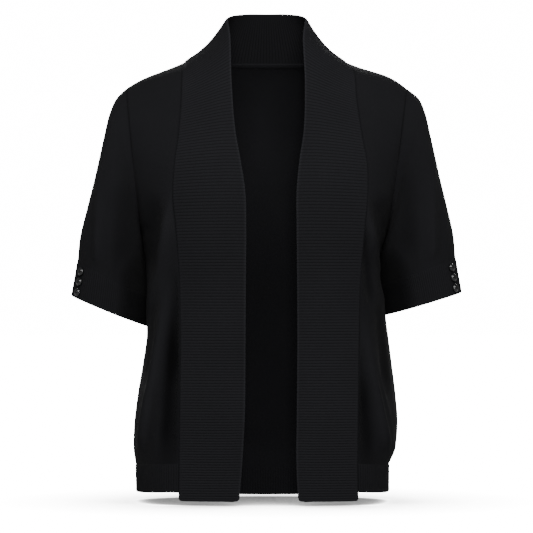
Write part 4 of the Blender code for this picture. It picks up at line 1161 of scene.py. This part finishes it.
# Painted shade inside the back, and painted light on the strip.
painted_inside_shade_bell = np.exp(-((back.grid[..., 2] + INSIDE_AT) / INSIDE_REACH) ** 2)
back.painted_shade_wrong = PAINTED_STRIP_LIGHT * strip + PAINTED_INSIDE_SHADE * painted_inside_shade_bell
right_half, left_half = (painted_fold_shade(back.grid, "back", side) for side in (RIGHT, LEFT))
back.hollow = np.where(back.grid[..., 0] < 0.0, right_half, left_half)
sheets["back"] = back
print("back's grid:", back.grid.shape)

# %% [markdown]
# ## Ribs
# The band, the welts and the cuffs are ribbed: rounded ribs with narrow valleys between
# them, smooth at both edges of the strip. The height of a rib goes with a sine, raised
# to a power below one so that its top is broad. On the wrong side the ribs lie where the
# right side has its valleys. Unlike the stitches, the ribs are deep enough to show on the
# garment's outline, so they are shape and not bump. Six points go to a rib, closer
# together in the valley.

# %% Ribs on a sheet
RIB_WALL = 2.4
RIB_RELIEF, WRONG_RELIEF, SMOOTH_HEIGHT = 0.7, 0.5, 0.3
RIB_POWER = 0.75
ACROSS_A_RIB = np.array((0.0, 0.12, 0.31, 0.5, 0.69, 0.88))   # shares of a rib


def rib_count(line, pitch):
    """Count of ribs along a line of points. pitch is the distance from rib to rib, and
    the count is scaled a little, so that it ends on a whole rib."""
    steps = np.linalg.norm(np.diff(line, axis=0), axis=-1)
    count = np.concatenate(((0.0,), np.cumsum(steps / pitch)))
    return count * round(count[-1]) / count[-1]


def rib_phases(ribs):
    """The points of each rib, as counts from the first."""
    phases = (np.arange(ribs)[:, None] + ACROSS_A_RIB).ravel()
    return np.append(phases, float(ribs))


def add_ribs(sheet, phase, smooth, width):
    """Raise ribs on both sides of a sheet. phase counts ribs at each point, smooth is 1
    where there are none, and width is the length along a rib, for the stitches."""
    top = np.abs(np.sin(math.pi * phase)) ** RIB_POWER
    hidden = np.abs(np.cos(math.pi * phase)) ** RIB_POWER
    sheet.right = RIB_RELIEF * (top * (1.0 - smooth) + SMOOTH_HEIGHT * smooth)
    sheet.wrong = WRONG_RELIEF * (hidden * (1.0 - smooth) + SMOOTH_HEIGHT * smooth) - WRONG_RELIEF
    sheet.stitch = np.stack((phase, width), axis=-1)
    sheet.shift = 0.5


print("points on 3 ribs:", rib_phases(3).round(2))

# %% [markdown]
# ## The band
# One long strip is linked to the fronts and the back of the neck. On the chest it is
# stretched and its ribs lie further apart than at the hem, so a table gives the distance
# from rib to rib along it. Adding up length over distance gives the count of ribs at any
# way, and reading that backwards puts the points on every rib. The free edge rolls over
# and gets a painted light edge, while the inside of the collar and the front below the
# chest get a painted shade.

# %% Ribs along the band
PITCH = table(
    "way    rib",
    (0.00,  3.8),
    (0.75,  4.1),
    (1.10,  4.4),
    (1.50,  4.7),
    (1.90,  4.7),
    (2.10,  4.45),
    (2.40,  4.15),
    (2.70,  4.0),
    (2.95,  3.75),
    (3.15,  3.7),
)
WAY_STEPS = 4001

even_way = np.linspace(-BAND_END, BAND_END, WAY_STEPS)
middle_line = band_surface(even_way, np.full(len(even_way), 0.5))
pitch = np.interp(np.abs(even_way), PITCH["way"], PITCH["rib"])
count = rib_count(middle_line, (pitch[1:] + pitch[:-1]) / 2.0)
phase = rib_phases(round(count[-1]))
way = np.interp(phase, count, even_way)
print("ribs on the band:", round(count[-1]))

# %% Lay out the band
SEAM_STRIP, FREE_STRIP = 5.5, 4.5   # smooth strips along the band's two edges
RIB_START = 0.8           # a rib comes in over this much to either side of a strip's end
BAND_WIDTH, BAND_CORNER = 96.0, 5.0
NEAR_SEAM, NEAR_FREE = (0.0, 0.4, 1.0, 1.8, 2.6), (0.0, 0.2, 0.6, 1.3)   # places at the edges
NEAR_STRIP = np.array((-0.8, 0.9))  # and about a strip's end
ACROSS_BAND = 6           # places across the ribbed part
LIT_EDGE, PAINTED_EDGE_LIGHT = 2.6, -1.1    # how wide the painted light edge is, and how much painted light it gets
# Painted shade on the inside of the collar.
PAINTED_COLLAR_SHADE = 0.75
PAINTED_BAND_SHADE, SHADED_WAY, SHADED_REACH = 0.2, 2.05, 0.4   # painted shade on its front, darkest below the chest
BAND_EDGES = {"top": "free", "foot": "free", "start": "seam", "end": "free"}

near_seam = np.concatenate((NEAR_SEAM, SEAM_STRIP + NEAR_STRIP)) / BAND_WIDTH
near_free = np.concatenate((NEAR_FREE, FREE_STRIP + NEAR_STRIP)) / BAND_WIDTH
between = np.linspace(near_seam[-1], 1.0 - near_free[-1], ACROSS_BAND)[1:-1]
share = np.concatenate((near_seam, between, 1.0 - near_free[::-1]))
run = arc(band_surface(way, np.full(len(way), 0.5))[None], 1)[0]
to_hem = np.minimum(run, run[-1] - run)
inset = rounded(to_hem, BAND_CORNER, BAND_CORNER)[:, None] / BAND_WIDTH
shares = inset + (1.0 - 2.0 * inset) * share[None, :]   # the hem's corners are rounded
grid = band_surface(way[:, None] + 0.0 * shares, shares)
band = Sheet("band", grid, grid * from_middle, BAND_EDGES, RIB_WALL)
from_seam, to_free = band.distance("start"), band.distance("end")
ribbed = ease((from_seam - SEAM_STRIP + RIB_START) / (2.0 * RIB_START))
ribbed = ribbed * ease((to_free - FREE_STRIP + RIB_START) / (2.0 * RIB_START))
add_ribs(band, phase[:, None] + 0.0 * from_seam, 1.0 - ribbed, from_seam)
off_edge = ease(to_free / LIT_EDGE)
# Painted shade below the chest, and a painted light edge on both sides.
painted_chest_shade_bell = np.exp(-((np.abs(way) - SHADED_WAY) / SHADED_REACH) ** 2)[:, None]
band.hollow = PAINTED_EDGE_LIGHT * (1.0 - off_edge) + PAINTED_BAND_SHADE * painted_chest_shade_bell
band.painted_shade_wrong = PAINTED_EDGE_LIGHT * (1.0 - off_edge) + PAINTED_COLLAR_SHADE * off_edge
sheets["band"] = band
print("band's grid:", band.grid.shape)

# %% [markdown]
# ## Welts and cuffs
# A welt hangs straight down from the foot of its panel, and a cuff carries on from its
# sleeve. Both are knitted on and run straight into the plain cloth, and their ribs run
# down them. Each starts on the line where the cloth above it ends, so that no gap can
# open between the two.

# %% Lines of the welts
HEM_RIB, CUFF_RIB = 3.8, 3.3        # distance from rib to rib
CUFF_LENGTH = 48.0
DOWN_A_STRIP = 7                    # places down a welt or a cuff, besides those at its edges
COARSE = np.linspace(0.0, 1.0, 721)
RIB_IN, RIB_OUT = 3.0, 1.2          # lengths over which ribs come and go
PLAIN_FOOT = 0.8                    # and the plain edge below them


def back_line(row):
    """The whole back at one row, as a function of a place from 0, right, to 1, left."""
    def line(place):
        level = np.full(len(place), row)
        right = back_half(RIGHT, level, np.clip(2.0 * place, 0.0, 1.0))
        left = back_half(LEFT, level, np.clip(2.0 - 2.0 * place, 0.0, 1.0))
        return np.where((place < 0.5)[:, None], right, left)
    return line


def front_line(side, row):
    """One front at one row, from its side seam to the band."""
    return lambda place: front_panel(side, np.full(len(place), row), place)


def knitted_on(sheet):
    """How smooth the cloth is near a welt's or a cuff's two edges, 0 to 1."""
    ribbed = ease(sheet.distance("top") / RIB_IN)
    return 1.0 - ribbed * ease((sheet.distance("foot") - PLAIN_FOOT) / RIB_OUT)


print("middle of the back's foot, mm:", back_line(2.0)(np.full(1, 0.5))[0].round(1))

# %% Lay out the welts
WELT_EDGES = {**SEAM_EDGES, "top": "knitted", "foot": "free"}
# Painted shade on the front welts.
PAINTED_FRONT_WELT_SHADE = 0.2


def lay_out_welt(name, upper, lower, shade):
    """Ribbed strip between a panel's foot and its lower edge, both functions of a place."""
    count = rib_count(upper(COARSE), HEM_RIB)
    phase = rib_phases(round(count[-1]))
    place = np.interp(phase, count, COARSE)
    down = places(WELT_HEIGHT, DOWN_A_STRIP)[:, None, None]
    top, foot = upper(place), lower(place)
    grid = top[None] + (foot - top)[None] * down
    sheet = Sheet(name, grid, grid * from_middle, WELT_EDGES, RIB_WALL)
    add_ribs(sheet, phase[None, :] + 0.0 * grid[..., 0], knitted_on(sheet), sheet.distance("top"))
    # Painted shade, the same all over the welt.
    sheet.hollow = shade
    sheets[name] = sheet


lay_out_welt("hem_back", back_line(2.0), back_line(3.0), 0.0)
for side in (RIGHT, LEFT):
    upper, lower = front_line(side, 2.0), front_line(side, 3.0)
    lay_out_welt("hem_" + NAMES[side], upper, lower, PAINTED_FRONT_WELT_SHADE)
print("laid out:", list(sheets))

# %% Lay out the cuffs
CUFF_EDGES = {"top": "knitted", "foot": "free"}


def lay_out_cuff(side):
    """Ribbed ring from the sleeve's end to CUFF_END, its ribs evenly round."""
    count = rib_count(sleeve_ring(side, np.ones(len(COARSE)), np.mod(COARSE, 1.0)), CUFF_RIB)
    phase = rib_phases(round(count[-1]))
    place = np.interp(phase, count, COARSE)[None, :]
    along = 1.0 + (CUFF_END - 1.0) * places(CUFF_LENGTH, DOWN_A_STRIP)[:, None]
    grid = sleeve_ring(side, along + 0.0 * place, np.mod(place, 1.0) + 0.0 * along)
    away = grid - grid.mean(axis=1, keepdims=True)
    name = "cuff_" + NAMES[side]
    sheet = Sheet(name, grid[:, :-1], away[:, :-1], CUFF_EDGES, RIB_WALL, ring=True)
    add_ribs(sheet, phase[None, :-1] + 0.0 * along, knitted_on(sheet), sheet.distance("top"))
    drop = sheet.distance("top")
    drop = np.concatenate((drop, drop[:, :1]), axis=1)
    sheet.stitch = np.stack((phase[None, :] + 0.0 * drop, drop), axis=-1)
    # Painted shade between arm and body, and at least that of the low sleeve.
    sheet.hollow = np.maximum(painted_arm_shade(along, np.mod(place, 1.0))[:, :-1], PAINTED_LOW_SLEEVE_SHADE)
    sheets[name] = sheet


for side in (RIGHT, LEFT):
    lay_out_cuff(side)
print("laid out:", list(sheets))

# %% [markdown]
# ## Making up
# Now that every sheet is laid out, those that meet agree on the way their seams face,
# and each becomes a wall. A maker's flat sizes go with each: what the piece measures
# before it is linked to the others.

# %% Make up the cloth
# Flat width and length in metres, and the area in square metres that is left after shaping.
CUTS = {
    "back": (0.47, 0.60, 0.261),
    "front_right": (0.15, 0.60, 0.070),
    "front_left": (0.14, 0.60, 0.066),
    "sleeve_right": (0.42, 0.26, 0.057),
    "sleeve_left": (0.42, 0.26, 0.057),
    "band": (0.108, 1.56, 0.151),
    "hem_back": (0.49, 0.040, 0.0196),
    "hem_right": (0.158, 0.040, 0.0063),
    "hem_left": (0.148, 0.040, 0.0058),
    "cuff_right": (0.335, 0.049, 0.0163),
    "cuff_left": (0.335, 0.049, 0.0163),
}
join(list(sheets.values()))
for name, cut in CUTS.items():
    if name == "band":
        dress_cloth(sheets[name], rib_finish, "rib", *cut)
    elif sheets[name].shift > 0.0:
        dress_cloth(sheets[name], edge_finish, "rib", *cut)
    else:
        dress_cloth(sheets[name], knit_finish, "knit", *cut)

# %% [markdown]
# ## Buttons
# Three small domed buttons sit in a column on each cuff. Each is a profile carried round
# its axis: a low rim, a shallow groove inside it and a dome. A Screw modifier would carry
# it round as well, but a grid of rings is as short and leaves nothing to merge at the
# poles. It sits just off the tops of the ribs, and the surface of the cuff says which way
# it faces.

# %% A button's profile
BUTTON_ACROSS, BUTTON_RISE, BUTTON_RIM, BUTTON_SEAT = 11.6, 4.6, 1.6, 0.3
BUTTON_GROOVE, GROOVE_AT, GROOVE_WIDTH = 0.45, 0.74, 0.07   # its depth, then shares of the radius
BUTTON_SIDES, DOME_STEPS = 48, 22


def button_profile():
    """Radius and height from near the dome's top, over the rim, to the flat underside.
    The dome is a quarter ellipse, less a bell that runs round it as a groove."""
    radius = BUTTON_ACROSS / 2.0
    angle = np.linspace(0.0, math.pi / 2.0, DOME_STEPS + 1)[1:]
    r = radius * np.sin(angle)
    z = BUTTON_RIM + (BUTTON_RISE - BUTTON_RIM) * np.cos(angle)
    z = z - BUTTON_GROOVE * np.exp(-((r / radius - GROOVE_AT) / GROOVE_WIDTH) ** 2)
    under = np.array(((radius, 0.5), (radius - 0.2, 0.15), (radius - 0.6, 0.0)))
    return np.concatenate((np.stack((r, z), axis=-1), under))


print("rings of a button:", len(button_profile()))

# %% Sew the buttons on
BUTTON_TURN, FIRST_BUTTON, BUTTON_STEP = 0.10, 0.20, 0.30   # round the cuff, then down it
CUFF_RADIUS = 45.0        # of the cuff's front, which bows away below a button's rim


def build_button(side, number):
    """One button, turned about an axis that is square to the cuff."""
    along = np.array([1.0 + (CUFF_END - 1.0) * (FIRST_BUTTON + BUTTON_STEP * number)])
    turn = np.array([BUTTON_TURN])
    step = 0.004
    spot = sleeve_ring(side, along, turn)[0]
    ahead = sleeve_ring(side, along, turn + step)[0] - sleeve_ring(side, along, turn - step)[0]
    down = sleeve_ring(side, along + step, turn)[0] - sleeve_ring(side, along - step, turn)[0]
    out = unit(np.cross(ahead, down)) * side
    first = unit(down)
    second = np.cross(out, first)
    seat = spot + out * (RIB_RELIEF + BUTTON_SEAT + (BUTTON_ACROSS / 2.0) ** 2 / (2.0 * CUFF_RADIUS))
    r, z = button_profile().T[..., None]
    angle = np.linspace(0.0, 2.0 * math.pi, BUTTON_SIDES, endpoint=False)
    rings = (r * np.cos(angle))[..., None] * first + (r * np.sin(angle))[..., None] * second
    rings = rings + z[..., None] * out + seat
    index = np.arange(rings[..., 0].size).reshape(-1, BUTTON_SIDES)
    closed = np.concatenate((index, index[:, :1]), axis=1)
    quads = np.stack((closed[:-1, :-1], closed[1:, :-1], closed[1:, 1:], closed[:-1, 1:]), axis=-1)
    top, base = index.size, index.size + 1
    upper = np.stack(np.broadcast_arrays(top, closed[0, :-1], closed[0, 1:]), axis=-1)
    under = np.stack(np.broadcast_arrays(base, closed[-1, 1:], closed[-1, :-1]), axis=-1)
    poles = np.stack((seat + out * BUTTON_RISE, seat))
    spots = np.concatenate((rings.reshape(-1, 3), poles))
    faces = quads.reshape(-1, 4).tolist() + upper.tolist() + under.tolist()
    mesh = bpy.data.meshes.new("button")
    mesh.from_pydata(spots * MM, [], faces)
    mesh.shade_smooth()
    name = "button_%s_%d" % (NAMES[side], number + 1)
    piece = bpy.data.objects.new(name + "_turned", mesh)
    bpy.context.scene.collection.objects.link(piece)
    dress(piece, button_finish, name)
    return piece.name


print("buttons:", [build_button(side, number) for side in (RIGHT, LEFT) for number in range(3)])

# %% [markdown]
# ## Studio
# The picture has a white ground and soft light from the front and above, with a faint
# shadow where the garment nearly meets the floor. A lamp behind it shows the back as
# well, and sends hardly any light to the side that the picture sees. The floor and the
# space round it are bright to the camera only: what they send onto the cloth is kept low,
# so that the black stays black. A shadow is painted into the floor's glow, from an
# occlusion node, where the garment shuts out the light above it.

# %% Surroundings
AMBIENT = 0.16            # light from all round, on the cloth
SKY_BRIGHT = 20.0         # and what the camera sees there


def seen_by_camera(tree, hidden, shown, surface):
    """Link a surface that shows one shader to the camera and another to the light."""
    seen = tree.nodes.new("ShaderNodeLightPath")
    mix = tree.nodes.new("ShaderNodeMixShader")
    tree.links.new(seen.outputs["Is Camera Ray"], mix.inputs[0])
    tree.links.new(hidden, mix.inputs[1])
    tree.links.new(shown, mix.inputs[2])
    tree.links.new(mix.outputs[0], surface)


world = bpy.data.worlds.new("studio")
world.use_nodes = True
tree = world.node_tree
background = tree.nodes["Background"]
background.inputs["Color"].default_value = (1.0, 1.0, 1.0, 1.0)
background.inputs["Strength"].default_value = AMBIENT
bright = tree.nodes.new("ShaderNodeBackground")
bright.inputs["Strength"].default_value = SKY_BRIGHT
surface = tree.nodes["World Output"].inputs["Surface"]
seen_by_camera(tree, background.outputs[0], bright.outputs[0], surface)
bpy.context.scene.world = world
print("light from all round:", AMBIENT)

# %% Floor
FLOOR, FLOOR_HALF = -636.5, 12000.0
GROUND_BRIGHT, GROUND_GREY = 20.0, 0.4
SHADOW_REACH = 0.32       # metres within which the garment darkens the painted shadow
SHADOW_DEPTH, SHADOW_FLOOR = 3.6, 0.005   # of the painted shadow: power of the open share, and the least brightness

corners = ((-1, -1), (1, -1), (1, 1), (-1, 1))
floor_mesh = bpy.data.meshes.new("floor")
floor_spots = [(x * FLOOR_HALF * MM, y * FLOOR_HALF * MM, FLOOR * MM) for x, y in corners]
floor_mesh.from_pydata(floor_spots, [], [(0, 1, 2, 3)])
floor = bpy.data.objects.new("floor", floor_mesh)
bpy.context.scene.collection.objects.link(floor)
floor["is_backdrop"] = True
ground = Finish("white ground", (GROUND_GREY,) * 3, 1.0)
# A shadow painted into the floor's glow by an occlusion node, not cast by the lamps.
open_sky = ground.add("ShaderNodeAmbientOcclusion", {"Distance": SHADOW_REACH}, "AO", samples=16)
open_share = ground.mapped(ground.math("POWER", open_sky, SHADOW_DEPTH), SHADOW_FLOOR, 1.0)
floor_glow_with_painted_shadow = ground.math("MULTIPLY", open_share, GROUND_BRIGHT)
shown = ground.add("ShaderNodeEmission", {"Strength": floor_glow_with_painted_shadow}, 0)
surface = ground.tree.nodes["Material Output"].inputs["Surface"]
seen_by_camera(ground.tree, ground.shader.outputs[0], shown, surface)
floor_mesh.materials.append(ground.material)
print("floor, mm:", FLOOR)


# %% Lights
def softbox(name, azimuth, elevation, away, width, height, watts):
    """A large rectangular lamp, turned towards the garment's middle. azimuth is counted
    from the camera's side towards the picture's right, in degrees like elevation."""
    lamp = bpy.data.lights.new(name, "AREA")
    lamp.shape = "RECTANGLE"
    lamp.size = width
    lamp.size_y = height
    lamp.energy = watts
    holder = bpy.data.objects.new(name, lamp)
    turn, tilt = math.radians(azimuth), math.radians(elevation)
    ahead = away * math.cos(tilt)
    middle = CAMERA_HEIGHT * MM
    holder.location = (ahead * math.sin(turn), -ahead * math.cos(turn), middle + away * math.sin(tilt))
    holder.rotation_euler = (math.pi / 2.0 - tilt, 0.0, turn)
    bpy.context.scene.collection.objects.link(holder)


softbox("key", azimuth=3.0, elevation=38.0, away=4.0, width=2.6, height=1.8, watts=175.0)
softbox("fill", azimuth=1.5, elevation=3.0, away=4.5, width=0.5, height=0.5, watts=58.0)
softbox("rear", azimuth=178.0, elevation=24.0, away=4.0, width=2.6, height=1.8, watts=200.0)
print("lights:", len(bpy.data.lights))

# %% Sizes, and the end
visual_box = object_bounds()
sizes = {"cad": cad_box, "visual": visual_box}
sizes = {name: [[float(value) for value in corner] for corner in box] for name, box in sizes.items()}
print("visual model, metres:", visual_box)
